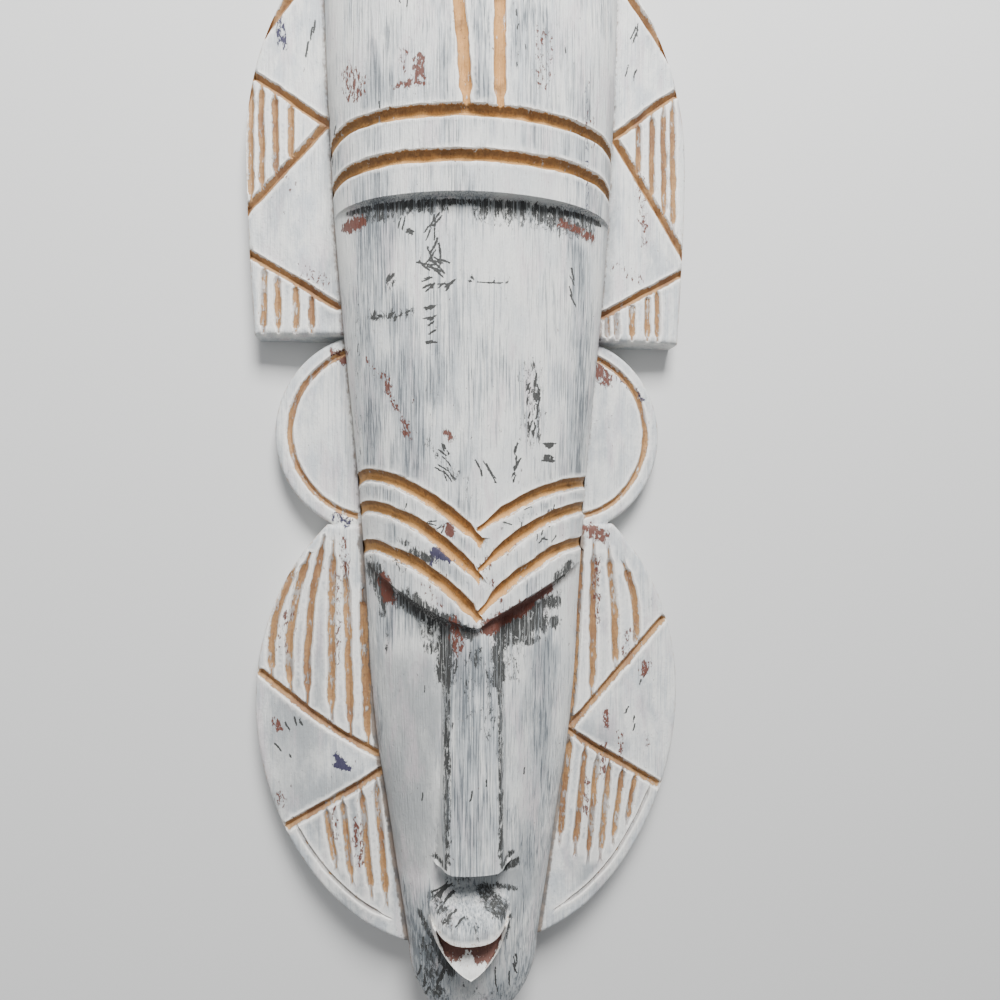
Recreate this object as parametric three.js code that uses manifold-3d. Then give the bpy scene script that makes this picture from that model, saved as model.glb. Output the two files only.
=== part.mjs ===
// An African wall mask, carved from one block of pale wood and painted white over dark paint.
// A long half-round face column stands on flat side plates: a crest, a pair of ears and two cheek lobes.
// The mask lies on its flat back: +Z is out of the face, +Y is towards the crown, millimetres.
// The origin is at the middle of the back.

import * as THREE from 'three';
import { mergeVertices } from 'three/addons/utils/BufferGeometryUtils.js';
import Module from 'manifold-3d';

const wasm = await Module();
wasm.setup();

// Overall size
const LENGTH = 510; // chin to crown
const WIDTH = 202; // across the crest
const DEPTH = 60; // flat back to the front of the forehead band

// Thicknesses of the block
const CREST_RIM = 14; // crest plate at its outer edge
const EAR_RIM = 11;
const LOBE_RIM = 13;
const PLATE_ROOT = 20; // crest and lobes where they meet the face column
const EAR_ROOT = 16;
const RIM_BEVEL = 2; // worn edge round the plates
const CROWN_MARGIN = 7; // rim of plate left round the top of the column
const SHELL = 13; // wood left between the back hollow and the face
const BAND_STEP = 5.5; // forehead lies this far behind the band above it
const BROW_STEP = 9; // eye hollow lies this far behind the brow

// Tool marks: width and depth of each kind of cut
const GOUGE_WIDTH = 5.8; // two bands and six brow cuts
const GOUGE_DEPTH = 3.4;
const CROWN_CUT_WIDTH = 5.2; // two long cuts up the crown
const CROWN_CUT_DEPTH = 2.6;
const BORDER_WIDTH = 4.2; // lines that frame the hatched fields
const BORDER_DEPTH = 2.8;
const HATCH_WIDTH = 3.2; // strokes inside the fields
const HATCH_DEPTH = 2.1;

// Hanging hole, blind, bored in the back above the hollow
const HANGER_DIAMETER = 8;
const HANGER_DEPTH = 12;

// Carving is placed in shares of the mask's own size
const along = (share) => share * LENGTH;
const across = (share) => (share * WIDTH) / 2;
const LEFT = -1;
const RIGHT = 1;

// Heights along the mask, from the middle of its length
const CROWN = along(0.5);
const CREST_CENTRE = along(0.264);
const CREST_FOOT = along(0.0985);
const BAND_FOOT = along(0.195);
const EAR_CENTRE = along(0.0137);
const NOTCH = along(-0.0667); // between ear and lobe
const LOBE_CENTRE = along(-0.2196);
const CHIN_START = along(-0.43);
const CHIN = along(-0.5);

const CREST_FOOT_HALF = across(0.96);
const EAR_RADIUS = across(0.446);
const EAR_AXIS = across(0.433);
const LOBE_HALF = across(0.96);
const LOBE_UPPER = along(0.206);
const LOBE_LOWER = along(0.2226);

const radians = THREE.MathUtils.degToRad;
const clamp = (value, low, high) => Math.min(high, Math.max(low, value));
const ellipseArc = (offset, radius) => Math.sqrt(Math.max(0, 1 - (offset / radius) ** 2));
const steps = (from, to, count) => Array.from({ length: count + 1 }, (_, i) => from + ((to - from) * i) / count);

// Smooth curve through a short table of [place, value] rows, highest place first
function profile(rows) {
  const places = rows.map((row) => row[0]).reverse();
  const values = rows.map((row) => row[1]).reverse();
  const slopes = values.map((value, i) => {
    const a = Math.max(0, i - 1);
    const b = Math.min(values.length - 1, i + 1);
    return (values[b] - values[a]) / (places[b] - places[a]);
  });
  return (place) => {
    const at = clamp(place, places[0], places[places.length - 1]);
    let i = 0;
    while (i < places.length - 2 && at > places[i + 1]) i += 1;
    const span = places[i + 1] - places[i];
    const t = (at - places[i]) / span;
    const ease = t * t * (3 - 2 * t);
    const from = values[i] + slopes[i] * (at - places[i]);
    const to = values[i + 1] + slopes[i + 1] * (at - places[i + 1]);
    return from * (1 - ease) + to * ease;
  };
}

// Half width of the crest and of the lobes at height y
function crestHalf(y) {
  if (y >= CREST_CENTRE) return across(1) * ellipseArc(y - CREST_CENTRE, CROWN - CREST_CENTRE);
  const fall = (CREST_CENTRE - y) / (CREST_CENTRE - CREST_FOOT);
  return across(1) - (across(1) - CREST_FOOT_HALF) * fall ** 1.6;
}

function lobeHalf(y) {
  return LOBE_HALF * ellipseArc(y - LOBE_CENTRE, y > LOBE_CENTRE ? LOBE_UPPER : LOBE_LOWER);
}

// The face column: half width and front height at height y
const columnTaper = profile([
  [along(0.394), across(0.653)],
  [along(0.263), across(0.626)],
  [along(0.131), across(0.583)],
  [along(-0.019), across(0.511)],
  [along(-0.133), across(0.47)],
  [along(-0.222), across(0.441)],
  [along(-0.3), across(0.386)],
  [along(-0.439), across(0.28)],
]);

function columnHalf(y) {
  if (y > CREST_CENTRE) return Math.min(columnTaper(y), Math.max(4, crestHalf(y) - CROWN_MARGIN));
  if (y >= CHIN_START) return columnTaper(y);
  return columnTaper(CHIN_START) * Math.max(0.22, ellipseArc(CHIN_START - y, CHIN_START - CHIN + 1.5));
}

function crownHeight(y) {
  const rise = clamp((y - CREST_CENTRE) / (CROWN - CREST_CENTRE), 0, 1);
  return PLATE_ROOT + (DEPTH - PLATE_ROOT) * Math.sqrt(1 - rise ** 2.6);
}

const BROW_FRONT = DEPTH - BAND_STEP;
const FACE_FRONT = BROW_FRONT - BROW_STEP;

const faceHeight = profile([
  [along(-0.05), FACE_FRONT],
  [along(-0.14), FACE_FRONT],
  [along(-0.34), FACE_FRONT - 5.5],
  [along(-0.4), FACE_FRONT - 8.2],
  [along(-0.44), FACE_FRONT - 10.5],
  [along(-0.472), FACE_FRONT - 14],
  [along(-0.49), FACE_FRONT - 18.5],
  [CHIN, FACE_FRONT - 24],
]);

// A closed geometry through sections that each have the same number of [x, y, z] points
function loft(sections) {
  const count = sections[0].length;
  const index = [];
  for (let s = 0; s + 1 < sections.length; s += 1) {
    for (let i = 0; i < count; i += 1) {
      const next = (i + 1) % count;
      const [a, b] = [s * count + i, s * count + next];
      index.push(a, b, a + count, b, b + count, a + count);
    }
  }
  const last = (sections.length - 1) * count;
  for (let i = 1; i + 1 < count; i += 1) {
    index.push(0, i + 1, i, last, last + i, last + i + 1);
  }
  const geometry = new THREE.BufferGeometry();
  geometry.setAttribute('position', new THREE.Float32BufferAttribute(sections.flat(2), 3));
  geometry.setIndex(index);
  return geometry;
}

// The volume enclosed by a geometry, negative where its faces point inwards
function enclosed(positions, index) {
  const [a, b, c] = [new THREE.Vector3(), new THREE.Vector3(), new THREE.Vector3()];
  let sum = 0;
  for (let i = 0; i < index.length; i += 3) {
    a.fromArray(positions, 3 * index[i]);
    b.fromArray(positions, 3 * index[i + 1]);
    c.fromArray(positions, 3 * index[i + 2]);
    sum += a.dot(b.cross(c)) / 6;
  }
  return sum;
}

function solid(geometry) {
  const plain = geometry.clone();
  plain.deleteAttribute('normal');
  plain.deleteAttribute('uv');
  const merged = mergeVertices(plain, 1e-4);
  const positions = new Float32Array(merged.attributes.position.array);
  const index = new Uint32Array(merged.index.array);
  if (enclosed(positions, index) < 0) index.reverse();
  return new wasm.Manifold(new wasm.Mesh({ numProp: 3, vertProperties: positions, triVerts: index }));
}

function geometryOf(body) {
  const mesh = body.getMesh();
  const geometry = new THREE.BufferGeometry();
  geometry.setAttribute('position', new THREE.Float32BufferAttribute(mesh.vertProperties, 3));
  geometry.setIndex(Array.from(mesh.triVerts));
  geometry.computeVertexNormals();
  return geometry;
}

const joined = (bodies) => bodies.reduce((whole, body) => whole.add(body));

// Section of the column: upright sides up to the plates, then half an ellipse of the given fullness
function archSection(y, half, height, base, fullness, arcs) {
  const points = [[-half, y, 0]];
  for (const angle of steps(Math.PI, 0, arcs)) {
    const x = Math.sign(Math.cos(angle)) * Math.abs(Math.cos(angle)) ** fullness * half;
    const z = base + (height - base) * Math.sin(angle) ** fullness;
    points.push([x, y, z]);
  }
  points.push([half, y, 0]);
  return points;
}

const COLUMN_BASE = PLATE_ROOT - 2; // the arch springs from just inside the plates
const COLUMN_ARCS = 16;
const columnPart = (rows, height, fullness) =>
  solid(loft(rows.map((y) => archSection(y, columnHalf(y), height(y), COLUMN_BASE, fullness, COLUMN_ARCS))));

// Rows of a rounded end, closer together where it curves away
const roundRows = (from, to, first, last, count) =>
  steps(first, last, count).map((angle) => from + (to - from) * Math.sin(radians(angle)));

function crownColumn() {
  return columnPart([BAND_FOOT, ...roundRows(CREST_CENTRE, CROWN, 0, 83, 10)], crownHeight, 1);
}

// Lower edge of the brow: a V that is lowest at the bridge of the nose, bowed on the left
const BROW_POINT = along(-0.147);
const BROW_RISE = along(0.048);
const BROW_BOW = { [LEFT]: 1.5, [RIGHT]: 0.87 };
function browEdge(x) {
  const share = clamp(Math.abs(x) / across(0.45), 0, 1);
  return BROW_POINT + BROW_RISE * share ** (x < 0 ? BROW_BOW[LEFT] : BROW_BOW[RIGHT]);
}

const browSurface = (x, y) => COLUMN_BASE + (BROW_FRONT - COLUMN_BASE) * ellipseArc(x, columnHalf(y));

// The forehead and brow, cut off below along the V. The underside slopes in and down to the eye hollow.
const BROW_LEAN = 0.45;
function forehead() {
  const block = columnPart(steps(BROW_POINT - 12, BAND_FOOT + 1, 6), () => BROW_FRONT, 1);
  const outline = new THREE.Shape();
  const reach = across(0.8);
  outline.moveTo(-reach, along(0.25));
  for (const x of steps(-reach, reach, 24)) {
    outline.lineTo(x, browEdge(x) - BROW_LEAN * browSurface(x, browEdge(x)));
  }
  outline.lineTo(reach, along(0.25));
  const keep = new THREE.ExtrudeGeometry(outline, { depth: DEPTH * 1.5, bevelEnabled: false });
  keep.translate(0, 0, -5);
  keep.applyMatrix4(new THREE.Matrix4().makeShear(0, 0, 0, 0, 0, BROW_LEAN));
  return block.intersect(solid(keep));
}

const FACE_FULLNESS = 0.88; // under 1 flattens the cheeks
function lowerFace() {
  const cheeks = steps(along(-0.05), along(-0.335), 7);
  const muzzle = steps(along(-0.347), CHIN_START, 6);
  return columnPart([...cheeks, ...muzzle, ...roundRows(CHIN_START, CHIN, 15, 84, 6), CHIN], faceHeight, FACE_FULLNESS);
}

// Height of the front of the column at (x, y), over whichever of its three parts is there
function columnFront(x, y) {
  const onFace = y < browEdge(x);
  const height = y > BAND_FOOT ? crownHeight(y) : onFace ? faceHeight(y) : BROW_FRONT;
  const fullness = onFace ? FACE_FULLNESS : 1;
  const share = clamp(Math.abs(x) / columnHalf(y), 0, 1);
  return COLUMN_BASE + (height - COLUMN_BASE) * (1 - share ** (2 / fullness)) ** (fullness / 2);
}

// A side plate. Its front slopes straight down from the column to the rim, and its edge is bevelled.
const SLOPE_START = across(0.5);
const plateFront = (half, rim, root) => (x) => {
  return root + ((rim - root) * Math.max(0, Math.abs(x) - SLOPE_START)) / (half - SLOPE_START);
};
const crestFront = plateFront(across(1), CREST_RIM, PLATE_ROOT);
const earFront = plateFront(EAR_AXIS + EAR_RADIUS, EAR_RIM, EAR_ROOT);
const lobeFront = plateFront(LOBE_HALF, LOBE_RIM, PLATE_ROOT);

function drawnIn(outline, distance) {
  return outline.map(([x, y], i) => {
    const [ax, ay] = outline[(i + outline.length - 1) % outline.length];
    const [bx, by] = outline[(i + 1) % outline.length];
    const length = Math.hypot(bx - ax, by - ay);
    return [x - ((ay - by) * distance) / length, y - ((bx - ax) * distance) / length];
  });
}

// The outline runs clockwise down the right side. Both plates of a pair are made from it.
function platePair(outline, half, rim, root) {
  const slope = (x) => root + ((rim - root) * (x - SLOPE_START)) / (half - SLOPE_START);
  const inner = drawnIn(outline, RIM_BEVEL);
  const sides = [RIGHT, LEFT].map((side) =>
    solid(
      loft([
        outline.map(([x, y]) => [side * x, y, 0]),
        outline.map(([x, y]) => [side * x, y, slope(x) - RIM_BEVEL]),
        inner.map(([x, y]) => [side * x, y, slope(x)]),
      ]),
    ),
  );
  const below = new THREE.BoxGeometry(WIDTH * 2, LENGTH * 2, root);
  below.translate(0, 0, root / 2);
  return joined(sides).intersect(solid(below));
}

function arc(centreX, centreY, radiusX, radiusY, from, to, count) {
  return steps(from, to, count).map((angle) => {
    return [centreX + radiusX * Math.cos(radians(angle)), centreY + radiusY * Math.sin(radians(angle))];
  });
}

function crestPlate() {
  const outline = [
    [-3, CROWN],
    ...arc(0, CREST_CENTRE, across(1), CROWN - CREST_CENTRE, 90, 0, 15),
    ...steps(0.4, 1, 2).map((t) => CREST_CENTRE + (CREST_FOOT - CREST_CENTRE) * t).map((y) => [crestHalf(y), y]),
    [-3, CREST_FOOT],
  ];
  return platePair(outline, across(1), CREST_RIM, PLATE_ROOT);
}

function earPlates() {
  const disc = arc(EAR_AXIS, EAR_CENTRE, EAR_RADIUS, EAR_RADIUS, 90, -90, 18);
  const inner = across(0.3);
  const outline = [[inner, EAR_CENTRE + EAR_RADIUS], ...disc, [inner, EAR_CENTRE - EAR_RADIUS]];
  return platePair(outline, EAR_AXIS + EAR_RADIUS, EAR_RIM, EAR_ROOT);
}

function lobePlates() {
  const top = THREE.MathUtils.radToDeg(Math.asin((NOTCH - LOBE_CENTRE) / LOBE_UPPER));
  const upper = arc(0, LOBE_CENTRE, LOBE_HALF, LOBE_UPPER, top, 0, 8);
  const lower = arc(0, LOBE_CENTRE, LOBE_HALF, LOBE_LOWER, 0, -76, 12).slice(1);
  const inner = across(0.15);
  const outline = [[inner, upper[0][1]], ...upper, ...lower, [inner, lower[lower.length - 1][1]]];
  return platePair(outline, LOBE_HALF, LOBE_RIM, PLATE_ROOT);
}

// The nose: a long flat-topped ridge from the brow to the muzzle, with small wings at its foot
const NOSE_TOP = BROW_POINT + 8;
const NOSE_TIP = along(-0.3455);
const NOSE_AXIS = across(-0.015);
const NOSE_HALF = across(0.107);
const NOSE_FRONT = BROW_FRONT - 2.5;
const WING_LENGTH = along(0.02);
const WING_SPREAD = 0.6; // share of the nose's half width
function nose() {
  const section = (y) => {
    const t = (NOSE_TOP - y) / (NOSE_TOP - NOSE_TIP);
    const wing = clamp(1 - (y - NOSE_TIP) / WING_LENGTH, 0, 1) ** 1.5;
    const half = NOSE_HALF * (1 + 0.08 * t);
    const skirt = 1.14 + WING_SPREAD * wing;
    const sides = [[skirt, -18], [skirt, -9 + wing], [1.02 + 0.2 * wing, -3.4 - wing], [0.82, -0.9], [0.4, 0]];
    const right = sides.map(([share, drop]) => [NOSE_AXIS + half * share, y, NOSE_FRONT + drop]);
    const left = sides.map(([share, drop]) => [NOSE_AXIS - half * share, y, NOSE_FRONT + drop]).reverse();
    return [...right, ...left];
  };
  const foot = steps(WING_LENGTH, 0, 4).map((above) => NOSE_TIP + above);
  return solid(loft([NOSE_TOP, ...foot].map(section)));
}

// The mouth: a bulging upper lip over a V-shaped lower lip, open between them
const MOUTH_AXIS = across(-0.028);
const MOUTH_HALF = across(0.175);
const LIP_TOP = along(-0.366);
const LIP_LINE = along(-0.392); // height of the corners
const LIP_SAG = along(0.0095); // the middle of the upper lip hangs this far below them
const LIP_LOW = along(-0.433);
const LIP_FRONT = BROW_FRONT - 2;
const LIP_EDGE = 3.2; // thickness of the lower lip

function lipSection(y, half, height) {
  return archSection(y, half, height, LIP_FRONT - 25, 0.85, 12).map(([x, ...rest]) => [x + MOUTH_AXIS, ...rest]);
}

function upperLip() {
  const above = [
    [0, 0.45, -17],
    [0.14, 0.72, -11],
    [0.4, 0.93, -5.5],
    [0.72, 1, -1.8],
    [1, 1, 0],
  ].map(([t, wide, drop]) => lipSection(LIP_TOP + (LIP_LINE - LIP_TOP) * t, MOUTH_HALF * wide, LIP_FRONT + drop));
  const below = [
    [0.35, 0.86, 0],
    [0.7, 0.62, -0.4],
    [1, 0.3, -1.4],
  ].map(([t, wide, drop]) => lipSection(LIP_LINE - LIP_SAG * t, MOUTH_HALF * wide, LIP_FRONT + drop));
  return solid(loft([...above, ...below]));
}

function lowerLip() {
  const rows = steps(0, 1, 5).map((t) => {
    const y = LIP_LINE + (LIP_LOW - LIP_LINE) * t;
    return lipSection(y, MOUTH_HALF * (1 - 0.88 * t ** 1.1), LIP_FRONT - 5.5 - 3 * t);
  });
  return solid(loft(rows));
}

function mouthOpening() {
  const deep = LIP_FRONT - 16;
  const rows = steps(0, 1, 4).map((t) => {
    const y = LIP_LINE + 1 + (LIP_LOW + LIP_EDGE * 1.5 - LIP_LINE) * t;
    const half = (MOUTH_HALF - LIP_EDGE) * (1 - 0.88 * t);
    const floor = deep + (LIP_FRONT - 9 - deep) * t;
    const corners = [[-half, floor], [-half, LIP_FRONT + 4], [half, LIP_FRONT + 4], [half, floor]];
    return corners.map(([x, z]) => [x + MOUTH_AXIS, y, z]);
  });
  return solid(loft(rows));
}

// The back hollow follows the column, one shell thickness inside it
const HOLLOW_TOP = along(0.372);
const HOLLOW_LOW = along(-0.415);
function backHollow() {
  const middle = (HOLLOW_TOP + HOLLOW_LOW) / 2;
  const reach = (HOLLOW_TOP - HOLLOW_LOW) / 2;
  const rows = steps(-86, 86, 18).map((angle) => {
    const y = middle + reach * Math.sin(radians(angle));
    const ends = ellipseArc(y - middle, reach) ** 0.6;
    const skin = y > BROW_POINT - 5 ? Math.min(BROW_FRONT, crownHeight(y)) : Math.min(faceHeight(y), faceHeight(y - 12));
    const half = Math.max(4, (columnHalf(y) - SHELL) * ends);
    const height = Math.max(4, (skin - SHELL) * ends);
    return archSection(y, half, height, 0, 1, 10).map(([x, at, z], i, all) => {
      return i === 0 || i === all.length - 1 ? [x, at, -2] : [x, at, z];
    });
  });
  return solid(loft(rows));
}

const HANGER_PLACE = along(0.43);
function hangerHole() {
  const drill = new THREE.CylinderGeometry(HANGER_DIAMETER / 2, HANGER_DIAMETER / 2, HANGER_DEPTH * 2, 16);
  drill.rotateX(Math.PI / 2);
  drill.translate(0, HANGER_PLACE, 0);
  return solid(drill);
}

// A cut along a line on the surface. Its section is a round or V-shaped gouge, square to the surface.
const ROUND = [[-0.64, 0.5], [-0.5, 0], [-0.27, -0.82], [0, -1], [0.27, -0.82], [0.5, 0], [0.64, 0.5]];
const VEE = [[-0.75, 0.5], [0, -1], [0.75, 0.5]];
const PROBE = 0.4; // step used to find the slope of a surface

function cut(line, surface, width, depth, shape, taper = () => 1) {
  const up = (x, y) => {
    const dx = (surface(x + PROBE, y) - surface(x - PROBE, y)) / (2 * PROBE);
    const dy = (surface(x, y + PROBE) - surface(x, y - PROBE)) / (2 * PROBE);
    return new THREE.Vector3(-clamp(dx, -4, 4), -clamp(dy, -4, 4), 1).normalize();
  };
  const places = line.map(([x, y]) => new THREE.Vector3(x, y, surface(x, y)));
  const sections = places.map((place, i) => {
    const before = places[Math.max(0, i - 1)];
    const after = places[Math.min(places.length - 1, i + 1)];
    const normal = up(place.x, place.y);
    const side = new THREE.Vector3().subVectors(after, before).cross(normal).normalize();
    const size = taper(i / (places.length - 1));
    return shape.map(([a, b]) => {
      const sink = b > 0 ? b * depth : b * depth * size;
      return new THREE.Vector3()
        .copy(place)
        .addScaledVector(side, a * width * size)
        .addScaledVector(normal, sink)
        .toArray();
    });
  });
  return solid(loft(sections));
}

const bothEnds = (t) => clamp(Math.min(t, 1 - t) * 4, 0.3, 1); // a cut that fades out at each end
const farEnd = (t) => clamp((1 - t) * 3.2, 0.16, 1);
const between = ([x0, y0], [x1, y1], count, bow = 0) =>
  steps(0, 1, count).map((t) => [x0 + (x1 - x0) * t + bow * Math.sin(Math.PI * t), y0 + (y1 - y0) * t]);

// Height of the line between two points at x
const heightAt = ([x0, y0], [x1, y1], x) => y0 + ((y1 - y0) * (x - x0)) / (x1 - x0);

const borderCut = (from, to, surface, count = 1) =>
  cut(between(from, to, count), surface, BORDER_WIDTH, BORDER_DEPTH, VEE);
const stroke = (from, to, surface, bow = 0) =>
  cut(between(from, to, 3, bow), surface, HATCH_WIDTH, HATCH_DEPTH, VEE, bothEnds);

// The two bands round the forehead
function bandCuts() {
  return [along(0.2584), along(0.2235)].map((y) => {
    const reach = columnHalf(y) * 0.975;
    const line = steps(166, 14, 16).map((angle) => [reach * Math.cos(radians(angle)), y]);
    return cut(line, (x) => columnFront(x, y), GOUGE_WIDTH, GOUGE_DEPTH, ROUND);
  });
}

// The brow: three cuts a side, each from the temple down to the bridge
const BROW_CUTS = [
  { side: LEFT, point: along(-0.077), rise: along(0.0535) },
  { side: LEFT, point: along(-0.108), rise: along(0.058) },
  { side: LEFT, point: along(-0.1405), rise: along(0.0585) },
  { side: RIGHT, point: along(-0.068), rise: along(0.0385) },
  { side: RIGHT, point: along(-0.1), rise: along(0.0485) },
  { side: RIGHT, point: along(-0.134), rise: along(0.0525) },
];

function browCuts() {
  return BROW_CUTS.map(({ side, point, rise }) => {
    const line = steps(0.985, 0.005, 12).map((t) => {
      return [side * columnHalf(point + rise) * t, point + rise * (1 - (1 - t) ** 1.9)];
    });
    return cut(line, browSurface, GOUGE_WIDTH * 0.92, GOUGE_DEPTH, ROUND, farEnd);
  });
}

// Two long cuts that run up the crown from the upper band
function crownCuts() {
  const foot = along(0.262);
  return [
    [[across(-0.05), foot], [across(-0.131), along(0.47)]],
    [[across(0.078), foot], [across(0.08), along(0.474)]],
  ].map(([from, to]) => cut(between(from, to, 10), columnFront, CROWN_CUT_WIDTH, CROWN_CUT_DEPTH, ROUND));
}

// Ears: one curved line inside the rim of each
function earCuts() {
  const inset = EAR_RADIUS * 0.83;
  return [LEFT, RIGHT].map((side) => {
    const line = arc(EAR_AXIS, EAR_CENTRE, inset, inset, 70, -74, 14).map(([x, y]) => [side * x, y]);
    return cut(line, earFront, BORDER_WIDTH * 0.85, BORDER_DEPTH * 0.8, VEE);
  });
}

// Crest: on each side a hatched triangle with its point at the column, a hatched lower corner,
// and the start of one more plain triangle at the crown
const CREST_FIELDS = [
  {
    side: LEFT,
    high: 0.326,
    point: 0.281,
    low: 0.205,
    corner: 0.17,
    root: 0.1225,
    strokes: [0.8, 0.866, 0.928, 0.975],
    cornerStrokes: [0.708, 0.778, 0.856, 0.917],
  },
  {
    side: RIGHT,
    high: 0.333,
    point: 0.283,
    low: 0.178,
    corner: 0.166,
    root: 0.121,
    strokes: [0.765, 0.83, 0.888, 0.933],
    cornerStrokes: [0.615, 0.66, 0.733, 0.807, 0.856],
  },
];

function crestCuts() {
  return CREST_FIELDS.flatMap(({ side, high, point, low, corner, root, strokes, cornerStrokes }) => {
    const rim = (share) => [side * (crestHalf(along(share)) + 1), along(share)];
    const inner = (share) => [side * (columnHalf(along(share)) + 1.5), along(share)];
    const lines = [
      [rim(high), inner(point)],
      [inner(point), rim(low)],
      [rim(corner), inner(root)],
      [rim(0.36), inner(0.434)],
    ].map(([from, to]) => borderCut(from, to, crestFront));
    const fields = strokes.map((share) => {
      const x = side * across(share);
      const top = heightAt(rim(high), inner(point), x) - 1;
      return stroke([x, top], [x, heightAt(rim(low), inner(point), x) + 1], crestFront);
    });
    const corners = cornerStrokes.map((share) => {
      const x = side * across(share);
      return stroke([x, heightAt(rim(corner), inner(root), x) - 1], [x, CREST_FOOT + 1.5], crestFront);
    });
    return [...lines, ...fields, ...corners];
  });
}

// Lobes: a fan under the ear, a plain triangle with its point at the column, and a hatched field below it.
// Each stroke of the fan is [across at its head, along at its head, across at its foot].
const LOBE_FIELDS = [
  {
    side: LEFT,
    high: -0.196,
    point: -0.266,
    second: -0.2814,
    low: -0.3288,
    fan: [
      [0.49, -0.123, 0.46],
      [0.562, -0.101, 0.535],
      [0.616, -0.0816, 0.62],
      [0.653, -0.0767, 0.73],
      [0.715, -0.0912, 0.8],
      [0.776, -0.101, 0.885],
    ],
    strokes: [0.43, 0.495, 0.58, 0.65],
    longest: 0.085,
  },
  {
    side: RIGHT,
    high: -0.155,
    point: -0.248,
    second: -0.251,
    low: -0.3059,
    fan: [
      [0.49, -0.09, 0.445],
      [0.55, -0.0855, 0.54],
      [0.618, -0.0906, 0.655],
      [0.692, -0.1035, 0.75],
    ],
    strokes: [0.44, 0.51, 0.57, 0.63, 0.692, 0.755],
    longest: 0.075,
  },
];
const LOBE_MARGIN = 5; // the lower border runs this far inside the rim

function lobeCuts() {
  return LOBE_FIELDS.flatMap(({ side, high, point, second, low, fan, strokes, longest }) => {
    const rim = (share) => [side * (lobeHalf(along(share)) - 3), along(share)];
    const inner = (share) => [side * (columnHalf(along(share)) + 1), along(share)];
    const lines = [
      [rim(high), inner(point)],
      [inner(second), rim(low)],
    ].map(([from, to]) => borderCut(from, to, lobeFront));
    const rays = fan.map(([head, start, foot]) => {
      const end = heightAt(rim(high), inner(point), side * across(foot)) + 1;
      const bow = side * across(0.04) * clamp((foot - 0.6) * 5, 0, 1);
      return stroke([side * across(head), along(start)], [side * across(foot), end], lobeFront, bow);
    });
    const start = THREE.MathUtils.radToDeg(Math.asin((along(low) - LOBE_CENTRE) / LOBE_LOWER));
    const border = arc(0, LOBE_CENTRE, LOBE_HALF - LOBE_MARGIN, LOBE_LOWER - LOBE_MARGIN * 1.5, start, -66, 8);
    const edge = cut(border.map(([x, y]) => [side * x, y]), lobeFront, HATCH_WIDTH, HATCH_DEPTH, VEE);
    const floor = (x) => LOBE_CENTRE - (LOBE_LOWER - LOBE_MARGIN * 2) * ellipseArc(x, LOBE_HALF - LOBE_MARGIN);
    const hatch = strokes.map((share) => {
      const from = [side * across(share), heightAt(inner(second), rim(low), side * across(share)) - 1];
      const foot = across(share - 0.05);
      return stroke(from, [side * foot, Math.max(from[1] - along(longest), floor(foot) + 4)], lobeFront);
    });
    return [...lines, ...rays, edge, ...hatch];
  });
}

function mask() {
  const block = joined([
    crestPlate(),
    earPlates(),
    lobePlates(),
    crownColumn(),
    forehead(),
    lowerFace(),
    nose(),
    lowerLip(),
  ]);
  const openMouth = block.subtract(mouthOpening()).add(upperLip());
  const away = joined([
    backHollow(),
    hangerHole(),
    ...bandCuts(),
    ...browCuts(),
    ...crownCuts(),
    ...earCuts(),
    ...crestCuts(),
    ...lobeCuts(),
  ]);
  const paint = new THREE.MeshStandardMaterial({ color: 0xd6d8d3, roughness: 0.62, metalness: 0 });
  const mesh = new THREE.Mesh(geometryOf(openMouth.subtract(away)), paint);
  mesh.name = 'mask';
  return mesh;
}

const group = new THREE.Group();
group.add(mask());
export default group;
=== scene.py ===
"""African wall mask: carved relief, worn paint and studio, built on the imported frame."""

import math
from types import SimpleNamespace

import bpy
import numpy as np
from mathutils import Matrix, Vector
from mathutils.geometry import delaunay_2d_cdt


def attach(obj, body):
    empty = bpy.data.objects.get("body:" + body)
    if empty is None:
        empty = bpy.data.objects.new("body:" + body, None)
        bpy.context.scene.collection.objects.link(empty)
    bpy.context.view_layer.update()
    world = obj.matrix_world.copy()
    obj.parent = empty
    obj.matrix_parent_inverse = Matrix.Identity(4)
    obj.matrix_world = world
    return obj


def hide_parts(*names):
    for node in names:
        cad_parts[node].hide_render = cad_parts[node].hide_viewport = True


bl_info = {
    "name": "African Wall Mask",
    "version": (1, 0, 0),
    "blender": (4, 5, 0),
    "location": "View3D > Sidebar > Mask",
    "description": "Carved and painted wall mask with its studio",
    "category": "Object",
}

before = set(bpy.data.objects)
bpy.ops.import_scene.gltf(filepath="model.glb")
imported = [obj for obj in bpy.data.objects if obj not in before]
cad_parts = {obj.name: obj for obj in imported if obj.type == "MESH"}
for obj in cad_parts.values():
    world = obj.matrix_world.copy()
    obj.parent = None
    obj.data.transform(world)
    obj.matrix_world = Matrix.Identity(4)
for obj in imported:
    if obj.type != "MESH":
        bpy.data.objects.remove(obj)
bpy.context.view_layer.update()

LEFT = -1
RIGHT = 1
MM = 0.001


# Properties


def distance(name, description, default):
    """Setting for a length in metres."""
    return bpy.props.FloatProperty(
        name=name, description=description, default=default, subtype="DISTANCE", unit="LENGTH"
    )


def colour(name, description, default):
    """Setting for a colour."""
    return bpy.props.FloatVectorProperty(
        name=name, description=description, default=default, size=3, subtype="COLOR"
    )


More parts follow.
